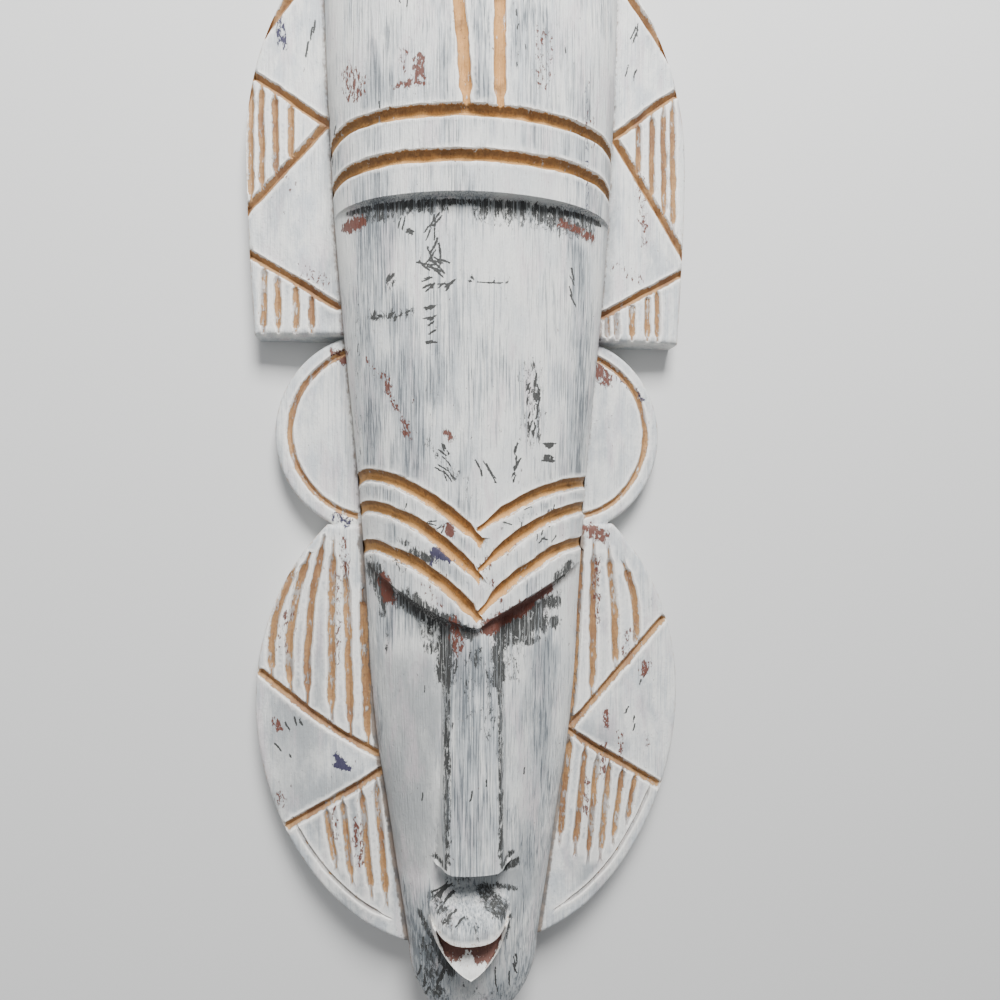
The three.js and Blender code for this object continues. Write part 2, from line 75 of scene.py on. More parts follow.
class MaskShape(bpy.types.PropertyGroup):
    """Sizes of the carving."""

    length: distance("Length", "Chin to crown", 0.510)
    width: distance("Width", "Across the crest", 0.202)
    depth: distance("Depth", "Back to the forehead band", 0.060)
    root: distance("Plate root", "Plates beside the column", 0.020)
    shell: distance("Shell", "Wood left over the back hollow", 0.013)
    gouge_width: distance("Gouge width", "Bands and brow cuts", 0.0058)
    gouge_depth: distance("Gouge depth", "Bands and brow cuts", 0.0036)
    border_width: distance("Border width", "Lines round the fields", 0.0047)
    hatch_width: distance("Hatch width", "Strokes in the fields", 0.0041)
    spacing: distance("Spacing", "Mesh spacing of plain surfaces", 0.00155)
    unevenness: distance("Unevenness", "Hand-carved waviness", 0.00028)
    seed: bpy.props.IntProperty(name="Seed", description="Seed of the irregularities", default=7)


class MaskPaint(bpy.types.PropertyGroup):
    """Colours and wear of the paint."""

    white: colour("White", "Top coat", (0.74, 0.742, 0.712))
    blue_grey: colour("Blue grey", "Thin top coat", (0.475, 0.51, 0.54))
    lilac: colour("Lilac", "Tint of some streaks", (0.58, 0.50, 0.52))
    # Also the colour of the painted shade at the band's foot, under the nose and beside the lower lip
    charcoal: colour("Charcoal", "Dark undercoat", (0.027, 0.028, 0.027))
    ochre: colour("Ochre", "Bare wood in the cuts", (0.545, 0.285, 0.098))
    # Also the colour of the painted shade on the upper walls of the cuts
    umber: colour("Umber", "Stained wood in the cuts", (0.125, 0.067, 0.032))
    red: colour("Red", "Red undercoat", (0.12, 0.034, 0.02))
    purple: colour("Purple", "Purple undercoat", (0.024, 0.019, 0.06))


class MaskStage(bpy.types.PropertyGroup):
    """Floor, lights and camera."""

    floor_size: distance("Floor", "Side of the floor", 6.0)
    key_power: bpy.props.FloatProperty(name="Key", description="Watts of the key light", default=38.0)
    fill_power: bpy.props.FloatProperty(name="Fill", description="Watts of the fill light", default=4.0)
    camera_place: bpy.props.FloatVectorProperty(
        name="Camera",
        description="Camera location",
        default=(-0.0239, -0.023, 0.3567),
        size=3,
        subtype="TRANSLATION",
    )
    camera_roll: bpy.props.FloatProperty(
        name="Turn", description="Turn about the length", default=math.radians(-6.09), subtype="ANGLE"
    )
    lens: bpy.props.FloatProperty(name="Lens", description="Focal length in millimetres", default=27.04)


# Noise and curves


def lattice(xi, yi, seed):
    """Pseudo-random value in 0..1 for each integer pair, from an integer hash."""
    h = (xi.astype(np.int64) * 374761393 + yi.astype(np.int64) * 668265263 + seed * 974634777) & 0xFFFFFFFF
    h = ((h ^ (h >> 13)) * 1274126177) & 0xFFFFFFFF
    return ((h ^ (h >> 16)) & 0xFFFF) / 65535.0


def noise(x, y, seed):
    """Value noise in -1..1: smooth blend of the hash at the four corners of each unit cell."""
    x, y = np.broadcast_arrays(np.asarray(x, float), np.asarray(y, float))
    xi, yi = np.floor(x), np.floor(y)
    u, v = x - xi, y - yi
    u, v = u * u * (3 - 2 * u), v * v * (3 - 2 * v)
    a = lattice(xi, yi, seed) * (1 - u) + lattice(xi + 1, yi, seed) * u
    b = lattice(xi, yi + 1, seed) * (1 - u) + lattice(xi + 1, yi + 1, seed) * u
    return 2 * (a * (1 - v) + b * v) - 1


def smooth(t):
    """Smoothstep: 3t^2 - 2t^3 with t clipped to 0..1."""
    t = np.clip(t, 0, 1)
    return t * t * (3 - 2 * t)


def soft_max(a, b, k):
    """Larger of two surfaces, joined by a fillet about k wide: max plus a quadratic inside the band."""
    h = np.clip(k - np.abs(a - b), 0, None) / k
    return np.maximum(a, b) + h * h * k / 4


def ellipse_arc(offset, radius):
    """Height of a unit ellipse: root of 1 minus the squared share of the offset."""
    return np.sqrt(np.clip(1 - (offset / radius) ** 2, 0, None))


def profile(rows, y):
    """Smooth curve through [place, value] rows: eased blend of the tangent lines at both neighbours."""
    p = np.array([r[0] for r in rows])[::-1]
    v = np.array([r[1] for r in rows])[::-1]
    a = np.maximum(np.arange(len(p)) - 1, 0)
    b = np.minimum(np.arange(len(p)) + 1, len(p) - 1)
    slope = (v[b] - v[a]) / (p[b] - p[a])
    y = np.clip(y, p[0], p[-1])
    i = np.clip(np.searchsorted(p, y, side="right") - 1, 0, len(p) - 2)
    ease = smooth((y - p[i]) / (p[i + 1] - p[i]))
    return (v[i] + slope[i] * (y - p[i])) * (1 - ease) + (v[i + 1] + slope[i + 1] * (y - p[i + 1])) * ease


def resample(line, step):
    """Same line with points at equal distances of about one step."""
    line = np.asarray(line, float)
    run = np.concatenate([[0], np.cumsum(np.hypot(*np.diff(line, axis=0).T))])
    n = max(3, int(round(run[-1] / step)) + 1)
    s = np.linspace(0, run[-1], n)
    return np.column_stack([np.interp(s, run, line[:, 0]), np.interp(s, run, line[:, 1])])


def arc(cx, cy, rx, ry, start, end, n=60):
    """Points of an ellipse from one angle to another, in degrees."""
    t = np.radians(np.linspace(start, end, n))
    return np.column_stack([cx + rx * np.cos(t), cy + ry * np.sin(t)])


def between(a, b, bow=0.0, n=24):
    """Straight line from a to b, pushed sideways in x by a half sine of the given bow."""
    t = np.linspace(0, 1, n)
    return np.column_stack([a[0] + (b[0] - a[0]) * t + bow * np.sin(np.pi * t), a[1] + (b[1] - a[1]) * t])


def square_to(line):
    """Unit vectors square to a line at each of its points."""
    d = np.gradient(line, axis=0)
    n = np.column_stack([-d[:, 1], d[:, 0]])
    return n / np.maximum(np.hypot(n[:, 0], n[:, 1]), 1e-9)[:, None]


def height_at(a, b, x):
    """Height at x of the line through a and b."""
    return a[1] + (b[1] - a[1]) * (x - a[0]) / (b[0] - a[0])


# Form of the mask, in millimetres

# Height that stands for no surface
ABSENT = -50.0
# The front ends this far under the outline's own height
RIM_DROP = 0.3
HANGER_RADIUS = 4.0
HANGER_DEPTH = 12.0
# Rows of quads down the side
SIDE_LEVELS = 5


def sizes(shape):
    """Named heights and widths of the mask, as shares of its length and half width."""
    L = shape.length / MM
    H = shape.width / MM / 2
    m = SimpleNamespace(L=L, H=H, depth=shape.depth / MM, root=shape.root / MM, shell=shape.shell / MM)
    m.crown, m.chin = 0.5 * L, -0.5 * L
    m.crest_centre, m.crest_foot, m.band_foot = 0.264 * L, 0.0985 * L, 0.195 * L
    m.ear_centre, m.notch, m.lobe_centre = 0.0137 * L, -0.0667 * L, -0.2196 * L
    m.chin_start = -0.43 * L
    m.crest_foot_half = 0.96 * H
    m.ear_radius, m.ear_axis = 0.446 * H, 0.433 * H
    m.lobe_half, m.lobe_upper, m.lobe_lower = 0.96 * H, 0.206 * L, 0.2226 * L
    m.crest_rim, m.ear_rim, m.lobe_rim, m.ear_root = m.root - 6, m.root - 9, m.root - 7, m.root - 4
    m.bevel = 2.0
    m.base = m.root - 2
    m.brow_front = m.depth - 5.5
    m.face_front = m.brow_front - 9
    m.nose_top, m.nose_tip = -0.147 * L + 8, -0.3455 * L
    m.nose_axis, m.nose_half, m.nose_front = -0.015 * H, 0.107 * H, m.brow_front - 2.5
    m.mouth_axis, m.mouth_half = -0.028 * H, 0.175 * H
    m.lip_top, m.lip_line, m.lip_sag, m.lip_low = -0.366 * L, -0.392 * L, 0.0095 * L, -0.4363 * L
    m.lip_front = m.brow_front - 2
    hollow_top, hollow_low = 0.372 * L, -0.415 * L
    m.hollow_middle, m.hollow_reach = (hollow_top + hollow_low) / 2, (hollow_top - hollow_low) / 2
    m.hanger = 0.43 * L
    return m


def crest_half(m, y):
    """Half width of the crest: a half ellipse above its centre, a slight taper below."""
    top = m.H * ellipse_arc(y - m.crest_centre, m.crown - m.crest_centre)
    fall = np.clip((m.crest_centre - y) / (m.crest_centre - m.crest_foot), 0, None)
    return np.where(y >= m.crest_centre, top, m.H - (m.H - m.crest_foot_half) * fall**1.6)


def lobe_half(m, y):
    """Half width of the lobes: an ellipse with a longer lower half."""
    return m.lobe_half * ellipse_arc(y - m.lobe_centre, np.where(y > m.lobe_centre, m.lobe_upper, m.lobe_lower))


def ear_half(m, y):
    """Half width of the ears: a circle beside the column, and nothing above or below it."""
    inside = np.abs(y - m.ear_centre) < m.ear_radius
    return np.where(inside, m.ear_axis + m.ear_radius * ellipse_arc(y - m.ear_centre, m.ear_radius), 0)


def column_half(m, y):
    """Half width of the face column: a long taper, kept inside the crest above, a half ellipse at the chin."""
    shares = [(0.394, 0.653), (0.263, 0.626), (0.131, 0.583), (-0.019, 0.511)]
    shares += [(-0.133, 0.47), (-0.222, 0.441), (-0.3, 0.386), (-0.439, 0.28)]
    rows = [(place * m.L, half * m.H) for place, half in shares]
    y = np.asarray(y, float)
    taper = profile(rows, y)
    top = np.minimum(taper, np.maximum(4, crest_half(m, y) - 7))
    chin_half = profile(rows, np.array([m.chin_start]))[0]
    low = chin_half * ellipse_arc(m.chin_start - y, m.chin_start - m.chin + 0.15)
    return np.where(y > m.crest_centre, top, np.where(y < m.chin_start, low, taper))


def crown_height(m, y):
    """Front of the crown: falls from full depth at the band to the plates at the top, as a 2.6-power curve."""
    rise = np.clip((y - m.crest_centre) / (m.crown - m.crest_centre), 0, 1)
    return m.root + (m.depth - m.root) * np.sqrt(1 - rise**2.6)


def face_height(m, y):
    """Front of the lower face: nearly level cheeks and a falling chin."""
    falls = [(-0.05, 0), (-0.14, 0), (-0.34, 5.5), (-0.4, 8.2)]
    falls += [(-0.44, 10.5), (-0.472, 14), (-0.49, 18.5), (-0.5, 24)]
    return profile([(place * m.L, m.face_front - fall) for place, fall in falls], y)


def muzzle_dip(m, x, y):
    """Shallow hollow between the nose and the upper lip: a bell, wider across than along."""
    d = ((x - m.nose_axis) / 17) ** 2 + ((y + 0.362 * m.L) / 9) ** 2
    return 3.4 * np.exp(-d)


def brow_edge(m, x):
    """Lower edge of the brow: a V, bowed on the left by a power of 1.5 and on the right by 0.87."""
    share = np.clip(np.abs(x) / (0.45 * m.H), 0, 1)
    return -0.147 * m.L + 0.048 * m.L * share ** np.where(x < 0, 1.5, 0.87)


def arch(x, half, height, base, fullness):
    """Half a superellipse across x, from base at the sides to height in the middle."""
    share = np.clip(np.abs(x) / np.maximum(half, 1e-6), 0, 1)
    return base + (height - base) * (1 - share ** (2 / fullness)) ** (fullness / 2)


def nose(m, x, y):
    """Ridge with a flat top and steep sides. Its half width grows downwards and its foot spreads in wings."""
    t = np.clip((m.nose_top - y) / (m.nose_top - m.nose_tip), 0, 1.1)
    wing = np.clip(1 - (y - m.nose_tip) / (0.009 * m.L), 0, 1) ** 1.5
    q = np.abs(x - m.nose_axis) / (m.nose_half * (1 + 0.08 * t))
    drop = np.interp(q, [0, 0.4, 0.8, 1.0, 1.16, 1.4, 1.5], [0, -0.2, -1.2, -3.8, -8.5, -19, -60])
    spread = np.interp(q, [0, 0.4, 1.0, 1.16, 1.32, 1.4, 1.44], [-1.5, -2.0, -5.6, -9.0, -11.6, -13.6, -60])
    ridge = m.nose_front + np.maximum(drop, spread - 14 * (1 - wing))
    foot = np.clip(m.nose_tip - y, 0, None)
    below = np.where(foot > 0, foot**1.15 * 4.2, 0)
    above = np.where(y > m.nose_top, 40.0, 0)
    return ridge - below - above


def lip_width(rise):
    """Share of the mouth's half width that the upper lip has, from its top at 0 to the mouth line at 1."""
    return np.interp(rise, [-0.02, 0, 0.14, 0.3, 0.5, 0.72], [0.02, 0.34, 0.6, 0.82, 0.97, 1])


def mouth_edges(m, x, y):
    """Upper lip's lower edge, and the half widths of the lower lip and of the opening at each height."""
    u = np.clip(np.abs(x - m.mouth_axis) / m.mouth_half, 0, 1)
    edge = m.lip_line + 2.6 - (m.lip_sag + 2.6) * (1 - u**4)
    s = np.clip((m.lip_line - y) / (m.lip_line - m.lip_low), 0, 1)
    outer = (m.mouth_half - 1.3) * (1 - s**1.8) ** 0.7
    inner = np.clip(outer - 1.7, 0, None)
    return edge, outer, inner, s


def mouth(m, x, y, z):
    """Face with its lips: a bulge over the opening, a V-shaped rim under it, and the slanting floor between."""
    X = x - m.mouth_axis
    edge, outer, inner, s = mouth_edges(m, x, y)
    rise = (m.lip_top - y) / (m.lip_top - m.lip_line)
    drop = np.interp(rise, [-0.1, 0, 0.14, 0.3, 0.45, 0.72, 1, 1.4], [-25, -19, -14, -10, -6, -1.8, 0, -0.4])
    upper = arch(X, m.mouth_half * lip_width(rise), m.lip_front + drop, m.lip_front - 25, 0.85)
    upper = np.where((y > edge) & (rise > -0.1) & (np.abs(X) < m.mouth_half), upper, ABSENT)
    lower = arch(X, outer, m.lip_front - 6, m.lip_front - 20, 0.3)
    lower = np.where((y <= edge) & (y > m.lip_low) & (np.abs(X) < outer), lower, ABSENT)
    floor = m.lip_front - 14 + 7.6 * smooth((s - 0.2) / 0.72)
    open_mouth = (y <= edge) & (np.abs(X) < inner)
    z = soft_max(z, np.maximum(upper, lower), 0.8)
    return np.where(open_mouth, np.minimum(z, floor), z)


def plate_height(m, x, y):
    """Side plates: each slopes from the column to its rim and rounds off over the bevel at its own edge."""
    ax = np.abs(x)

    def one(half, y_low, y_high, root, rim, reach):
        slope = root + (rim - root) * np.clip(ax - 0.5 * m.H, 0, None) / (reach - 0.5 * m.H)
        run = (half(m, y + 0.5) - half(m, y - 0.5)).clip(-8, 8)
        inside = (half(m, y) - ax) / np.sqrt(1 + run**2)
        edge = np.minimum(inside, np.minimum(y - y_low, y_high - y))
        t = np.clip(1 - edge / m.bevel, 0, 1)
        z = slope - m.bevel * (1 - np.sqrt(1 - t**2))
        return np.where(edge > -0.02, z, ABSENT)

    crest = one(crest_half, m.crest_foot, m.crown, m.root, m.crest_rim, m.H)
    low, high = m.ear_centre - m.ear_radius, m.ear_centre + m.ear_radius
    ear = one(ear_half, low, high, m.ear_root, m.ear_rim, m.ear_axis + m.ear_radius)
    lobe = one(lobe_half, m.lobe_centre - m.lobe_lower, m.notch, m.root, m.lobe_rim, m.lobe_half)
    return np.maximum(crest, np.maximum(ear, lobe))


def column_height(m, x, y):
    """Face column: crown and band, forehead and brow with its slanting underside, face, nose and mouth."""
    half = column_half(m, y)
    crown = arch(x, half, crown_height(m, y), m.base, 1.0)
    brow = arch(x, half, m.brow_front, m.base, 1.0)
    face = arch(x, half, face_height(m, y), m.base, 0.88) - muzzle_dip(m, x, y)
    under = brow_edge(m, x) - y
    wall = brow - np.clip(under, 0, None) ** 1.1 / 0.48
    low = soft_max(face, np.where(under > 8, ABSENT, wall), 0.9)
    low = soft_max(low, nose(m, x, y), 1.4)
    low = mouth(m, x, y, low)
    z = np.where(y > m.band_foot, crown, np.where(under <= 0, brow, low))
    end = np.clip((y - m.chin) / 1.2, 0, 1)
    z = np.where(y < m.chin + 1.2, m.base - 9 + (z - m.base + 9) * np.sqrt(1 - (1 - end) ** 2), z)
    return np.where(np.abs(x) < half - 0.02, z, ABSENT)


def front_height(m, x, y):
    """Carved front before the cuts: the higher of the plates and the column."""
    return np.maximum(plate_height(m, x, y), column_height(m, x, y))


def outline(m, side):
    """Outer edge of one side from crown to chin: crest, ear, lobe and column in turn."""
    crest = arc(0, m.crest_centre, m.H, m.crown - m.crest_centre, 90, 0, 200)
    y = np.linspace(m.crest_centre, m.crest_foot, 60)[1:]
    taper = np.column_stack([crest_half(m, y), y])
    y = np.linspace(m.crest_foot - 0.01, m.crest_foot - 6, 80)
    meet = y[np.argmax(ear_half(m, y) > column_half(m, y))]
    corner = np.array([[column_half(m, np.array([m.crest_foot]))[0], m.crest_foot]])
    start = math.degrees(math.asin((meet - m.ear_centre) / m.ear_radius))
    end = math.degrees(math.asin((m.notch - m.ear_centre) / m.ear_radius))
    ear = arc(m.ear_axis, m.ear_centre, m.ear_radius, m.ear_radius, start, end, 120)
    top = math.degrees(math.asin((m.notch - 0.02 - m.lobe_centre) / m.lobe_upper))
    upper = arc(0, m.lobe_centre, m.lobe_half, m.lobe_upper, top, 0, 120)
    y = np.linspace(m.lobe_centre, m.lobe_centre - m.lobe_lower + 0.5, 900)
    inside = np.argmax(lobe_half(m, y) < column_half(m, y))
    lower = np.column_stack([lobe_half(m, y[1:inside]), y[1:inside]])
    t = np.linspace(0, 1, 160)
    y = y[inside] + (m.chin - y[inside]) * np.sin(t * np.pi / 2)
    chin = np.column_stack([column_half(m, y), y])
    side_wall = np.vstack([corner, ear[:1]])
    foot = np.vstack([taper[-1:], corner])
    parts = [np.vstack([crest, taper]), foot, side_wall, ear, np.vstack([ear[-1:], upper[:1]])]
    parts += [upper, np.vstack([upper[-1:], lower]), np.vstack([lower[-1:], chin])]
    line = np.vstack([resample(part, 1.5)[(0 if k == 0 else 1):] for k, part in enumerate(parts)])
    line[-1, 0] = 0
    return line * [side, 1]


def inside_ring(ring, p):
    """True where a ray towards +X from the point crosses the closed ring an odd number of times."""
    a, b = ring, np.roll(ring, -1, axis=0)
    x, y = p[:, :1], p[:, 1:]
    spans = (a[:, 1] > y) != (b[:, 1] > y)
    rise = np.where(b[:, 1] == a[:, 1], 1e-9, b[:, 1] - a[:, 1])
    return (spans & (x < a[:, 0] + (y - a[:, 1]) / rise * (b[:, 0] - a[:, 0]))).sum(axis=1) % 2 == 1


def keep_inside(m, ring, verts, faces):
    """Faces whose centre is inside the ring; only those near the edge need the exact test."""
    centre = verts[faces].mean(axis=1)
    gap = half_at(m, centre[:, 1]) - np.abs(centre[:, 0])
    keep = gap > 0
    near = np.nonzero(np.abs(gap) < 2.5)[0]
    keep[near] = inside_ring(ring, centre[near])
    return faces[keep]


def hollow_height(m, x, y):
    """Back hollow: half an ellipse across x, one shell inside the column, drawn in at both ends."""
    ends = ellipse_arc(y - m.hollow_middle, m.hollow_reach) ** 0.6
    skin = np.where(
        y > -0.147 * m.L - 5,
        np.minimum(m.brow_front, crown_height(m, y)),
        np.minimum(face_height(m, y), face_height(m, y - 12)),
    )
    half = np.maximum((column_half(m, y) - m.shell) * ends, 1e-3)
    z = (skin - m.shell) * ends * ellipse_arc(x, half)
    return np.where(np.abs(y - m.hollow_middle) < m.hollow_reach, z, 0), half


# Cuts

CUT_STEP = 1.15
BORDER_DEPTH = 2.8
HATCH_DEPTH = 2.0


def nearest(line, points):
    """For each point: the segment of the line it is nearest to, the share along it, and the gap to it."""
    a, ab = line[:-1], np.diff(line, axis=0)
    t = np.einsum("psk,sk->ps", points[:, None] - a[None], ab) / (ab**2).sum(axis=1)
    t = np.clip(t, 0, 1)
    gap = points[:, None] - (a[None] + t[..., None] * ab[None])
    j = (gap**2).sum(axis=2).argmin(axis=1)
    r = np.arange(len(points))
    return j, t[r, j], gap[r, j]


def close_points(line, pad, x, y):
    """Indices of the points inside the box round a line, widened by the pad."""
    lo, hi = line.min(axis=0) - pad, line.max(axis=0) + pad
    return np.nonzero((x > lo[0]) & (x < hi[0]) & (y > lo[1]) & (y < hi[1]))[0]


def cut(line, width, depth, rounded, bare, taper="none", seed=0, zone="plate"):
    """One tool mark: a line with a depth, a taper at its ends and a width that wanders by a tenth."""
    line = resample(line, CUT_STEP)
    n = len(line)
    t = np.linspace(0, 1, n)
    run = np.arange(n) * CUT_STEP
    size = {
        "none": np.ones(n),
        "both": np.clip(np.minimum(t, 1 - t) * 9, 0.5, 1),
        "round": np.clip((1 - t) * 9, 0.5, 1) ** 0.7,
        "far": np.clip((1 - t) * 4.2, 0.3, 1) ** 0.7,
        "crown": np.clip(t * 14, 0.62, 1),
    }[taper]
    side = square_to(line)
    if side[:, 1].sum() < 0:
        side = -side
    line = line + side * (noise(run / 14, seed * 3.7, 11)[:, None] * 0.35)

    def half(row, first):
        wander = 0.10 * noise(run / 4.3, row, first) + 0.05 * noise(run / 1.6, row, first + 1)
        return width / 2 * size * (1 + wander)

    left, right = half(seed * 5.3, 12), half(seed * 7.9, 14)
    deep = depth * size * (1 + 0.16 * noise(run / 5.0, seed * 2.1, 16))
    return SimpleNamespace(
        line=line, side=side, left=left, right=right, deep=deep, rounded=rounded, bare=bare, zone=zone
    )


def column_cuts(m, s):
    """Bands, brow and crown cuts, whose lines follow the column."""
    cuts = []
    w, d = s.gouge_width / MM, s.gouge_depth / MM
    for k, y in enumerate((0.2584 * m.L, 0.2235 * m.L)):
        reach = float(column_half(m, np.array([y]))[0])
        x = reach * np.cos(np.radians(np.linspace(170, 10, 90)))
        dip = -2.6 * np.clip((np.abs(x) / reach - 0.8) / 0.2, 0, 1) ** 2
        dip -= 0.9 * (x < 0) * np.clip(-x / reach, 0, 1) ** 3
        cuts.append(cut(np.column_stack([x, y + dip]), w, d, True, 1.0, "none", 1 + k, "column"))
    brows = [(LEFT, -0.0775, 0.054), (LEFT, -0.1078, 0.058), (LEFT, -0.1395, 0.0575)]
    brows += [(RIGHT, -0.0682, 0.0385), (RIGHT, -0.1, 0.0485), (RIGHT, -0.134, 0.0525)]
    for k, (side, point, rise) in enumerate(brows):
        t = np.linspace(0.99, 0.002, 60)
        half = float(column_half(m, np.array([(point + rise) * m.L]))[0])
        y = m.L * (point + rise * (1 - (1 - t) ** 1.9))
        y = y - 2.6 * np.clip((t - 0.86) / 0.14, 0, 1) ** 2 * (side == LEFT)
        taper = "round" if side == LEFT else "far"
        cuts.append(cut(np.column_stack([side * half * t, y]), w, d, True, 1.0, taper, 5 + k, "column"))
    foot = 0.2605 * m.L
    for k, (low, high, top) in enumerate(((-0.05, -0.131, 0.47), (0.078, 0.08, 0.474))):
        line = between((low * m.H, foot), (high * m.H, top * m.L))
        cuts.append(cut(line, 5.5, 2.7, True, 1.0, "crown", 12 + k, "column"))
    return cuts


def ear_cuts(m):
    """One curved line inside the rim of each ear."""
    r = m.ear_radius * 0.845
    cuts = []
    for side in (LEFT, RIGHT):
        line = arc(m.ear_axis, m.ear_centre, r, r, 72, -77) * [side, 1]
        cuts.append(cut(line, 3.8, 1.9, False, 0.78, seed=16 + side))
    return cuts


def on_edge(m, half, side, beyond):
    """Function for the point on one side's edge, or beyond it, at a share of the length."""
    return lambda share: np.array([side * (float(half(m, share * m.L)) + beyond), share * m.L])


CREST_FIELDS = [
    (LEFT, 0.326, 0.281, 0.205, 0.17, 0.1225, (0.8, 0.866, 0.928, 0.975), (0.708, 0.778, 0.856, 0.917)),
    (RIGHT, 0.333, 0.283, 0.178, 0.166, 0.121, (0.765, 0.83, 0.888, 0.933), (0.615, 0.66, 0.733, 0.807, 0.856)),
]


def crest_cuts(m, s):
    """A hatched triangle, a hatched corner and one plain line on each side of the crest."""
    cuts = []
    w, h = s.border_width / MM, s.hatch_width / MM
    for k, (side, high, point, low, corner, root, strokes, corners) in enumerate(CREST_FIELDS):
        rim, inner = on_edge(m, crest_half, side, 1.0), on_edge(m, column_half, side, 1.2)
        seed = 20 + 20 * k
        lines = [(rim(high), inner(point)), (inner(point), rim(low))]
        lines += [(rim(corner), inner(root)), (rim(0.36), inner(0.434))]
        for i, (a, b) in enumerate(lines):
            cuts.append(cut(between(a, b), w, BORDER_DEPTH, False, 1.0, seed=seed + i))
        for i, share in enumerate(strokes):
            x = side * share * m.H
            a, b = height_at(rim(high), inner(point), x) - 1, height_at(rim(low), inner(point), x) + 1
            cuts.append(cut(between((x, a), (x, b)), h, HATCH_DEPTH, False, 0.8, "both", seed + 5 + i))
        for i, share in enumerate(corners):
            x = side * share * m.H
            a = height_at(rim(corner), inner(root), x) - 1
            b = m.crest_foot + 1.2
            cuts.append(cut(between((x, a), (x, b)), h, HATCH_DEPTH, False, 0.62, "both", seed + 10 + i))
    return cuts


LOBE_FIELDS = [
    (
        LEFT, -0.196, -0.266, -0.2814, -0.3288,
        ((0.49, -0.123, 0.46), (0.562, -0.101, 0.535), (0.616, -0.0816, 0.62), (0.653, -0.0767, 0.73),
         (0.715, -0.0912, 0.8), (0.776, -0.101, 0.885)),
        (0.43, 0.495, 0.58, 0.65), 0.112,
    ),
    (
        RIGHT, -0.155, -0.248, -0.251, -0.3059,
        ((0.49, -0.09, 0.445), (0.55, -0.0855, 0.54), (0.618, -0.0906, 0.655), (0.692, -0.1035, 0.75)),
        (0.44, 0.51, 0.57, 0.63, 0.692, 0.755), 0.097,
    ),
]


def lobe_cuts(m, s):
    """A fan under the ear, two lines that meet at the column, a hatched field and a border on each lobe."""
    cuts = []
    w, h = s.border_width / MM, s.hatch_width / MM
    for k, (side, high, point, second, low, fan, strokes, longest) in enumerate(LOBE_FIELDS):
        rim, inner = on_edge(m, lobe_half, side, -2.5), on_edge(m, column_half, side, 0.8)
        seed = 60 + 30 * k
        sag = [0, -2.0] if side == LEFT else [0, 0]
        line = between(rim(high), inner(point)) + np.outer(np.sin(np.linspace(0, np.pi, 24)), sag)
        cuts.append(cut(line, w, BORDER_DEPTH, False, 0.95, seed=seed))
        cuts.append(cut(between(inner(second), rim(low)), w, BORDER_DEPTH, False, 0.9, seed=seed + 1))
        for i, (head, start, foot) in enumerate(fan):
            end = height_at(rim(high), inner(point), side * foot * m.H) + 1
            bow = side * 0.04 * m.H * min(1.0, max(0.0, (foot - 0.6) * 5))
            line = between((side * head * m.H, start * m.L), (side * foot * m.H, end), bow)
            cuts.append(cut(line, h * 1.15, 2.2, False, 0.75, "both", seed + 3 + i))
        start = math.degrees(math.asin((low * m.L - m.lobe_centre) / m.lobe_lower))
        border = arc(0, m.lobe_centre, m.lobe_half - 5, m.lobe_lower - 7.5, start, -66) * [side, 1]
        cuts.append(cut(border, 2.4, 1.3, False, 0.45, "both", seed + 12))
        for i, share in enumerate(strokes):
            x, foot = share * m.H, (share - 0.05) * m.H
            top = height_at(inner(second), rim(low), side * x) - 1
            floor = m.lobe_centre - (m.lobe_lower - 10) * float(ellipse_arc(foot, m.lobe_half - 5))
            low_end = max(top - longest * m.L, floor + 4)
            line = between((side * x, top), (side * foot, low_end))
            cuts.append(cut(line, h, HATCH_DEPTH, False, 0.7, "both", seed + 14 + i))
    return cuts


def cut_fields(cuts, x, y, column_gap):
    """Depth, bareness and side of the deepest cut at each point, and the gap to the nearest cut's edge.

    Distance to each line segment gives the share of the half width. A rounded cut is a half ellipse
    and a V cut a straight fall. Each cut stays on its own side of the column's edge.
    """
    depth, bare, across = np.zeros((3, len(x)))
    near = np.full(len(x), 99.0)
    for c in cuts:
        idx = close_points(c.line, 5.0, x, y)
        own = column_gap[idx] < -0.1 if c.zone == "column" else column_gap[idx] > -0.06
        idx = idx[own]
        if not len(idx):
            continue
        j, f, gap = nearest(c.line, np.column_stack([x[idx], y[idx]]))
        d = np.hypot(gap[:, 0], gap[:, 1])
        sign = np.sign((gap * c.side[j]).sum(axis=1))
        left, right, deep = (v[j] * (1 - f) + v[j + 1] * f for v in (c.left, c.right, c.deep))
        share = d / np.where(sign >= 0, left, right)
        form = np.sqrt(np.clip(1 - share**2, 0, None)) if c.rounded else np.clip(1 - share, 0, None)
        if c.rounded:
            form = 0.55 * form + 0.45 * np.clip(1 - share, 0, None) ** 0.6
        cutting = form * deep
        better = cutting > depth[idx]
        k = idx[better]
        depth[k] = cutting[better]
        bare[k] = c.bare
        across[k] = (share * sign * np.abs(c.side[j, 1]))[better]
        near[idx] = np.minimum(near[idx], d - np.where(sign >= 0, left, right))
    return depth, bare, across, near


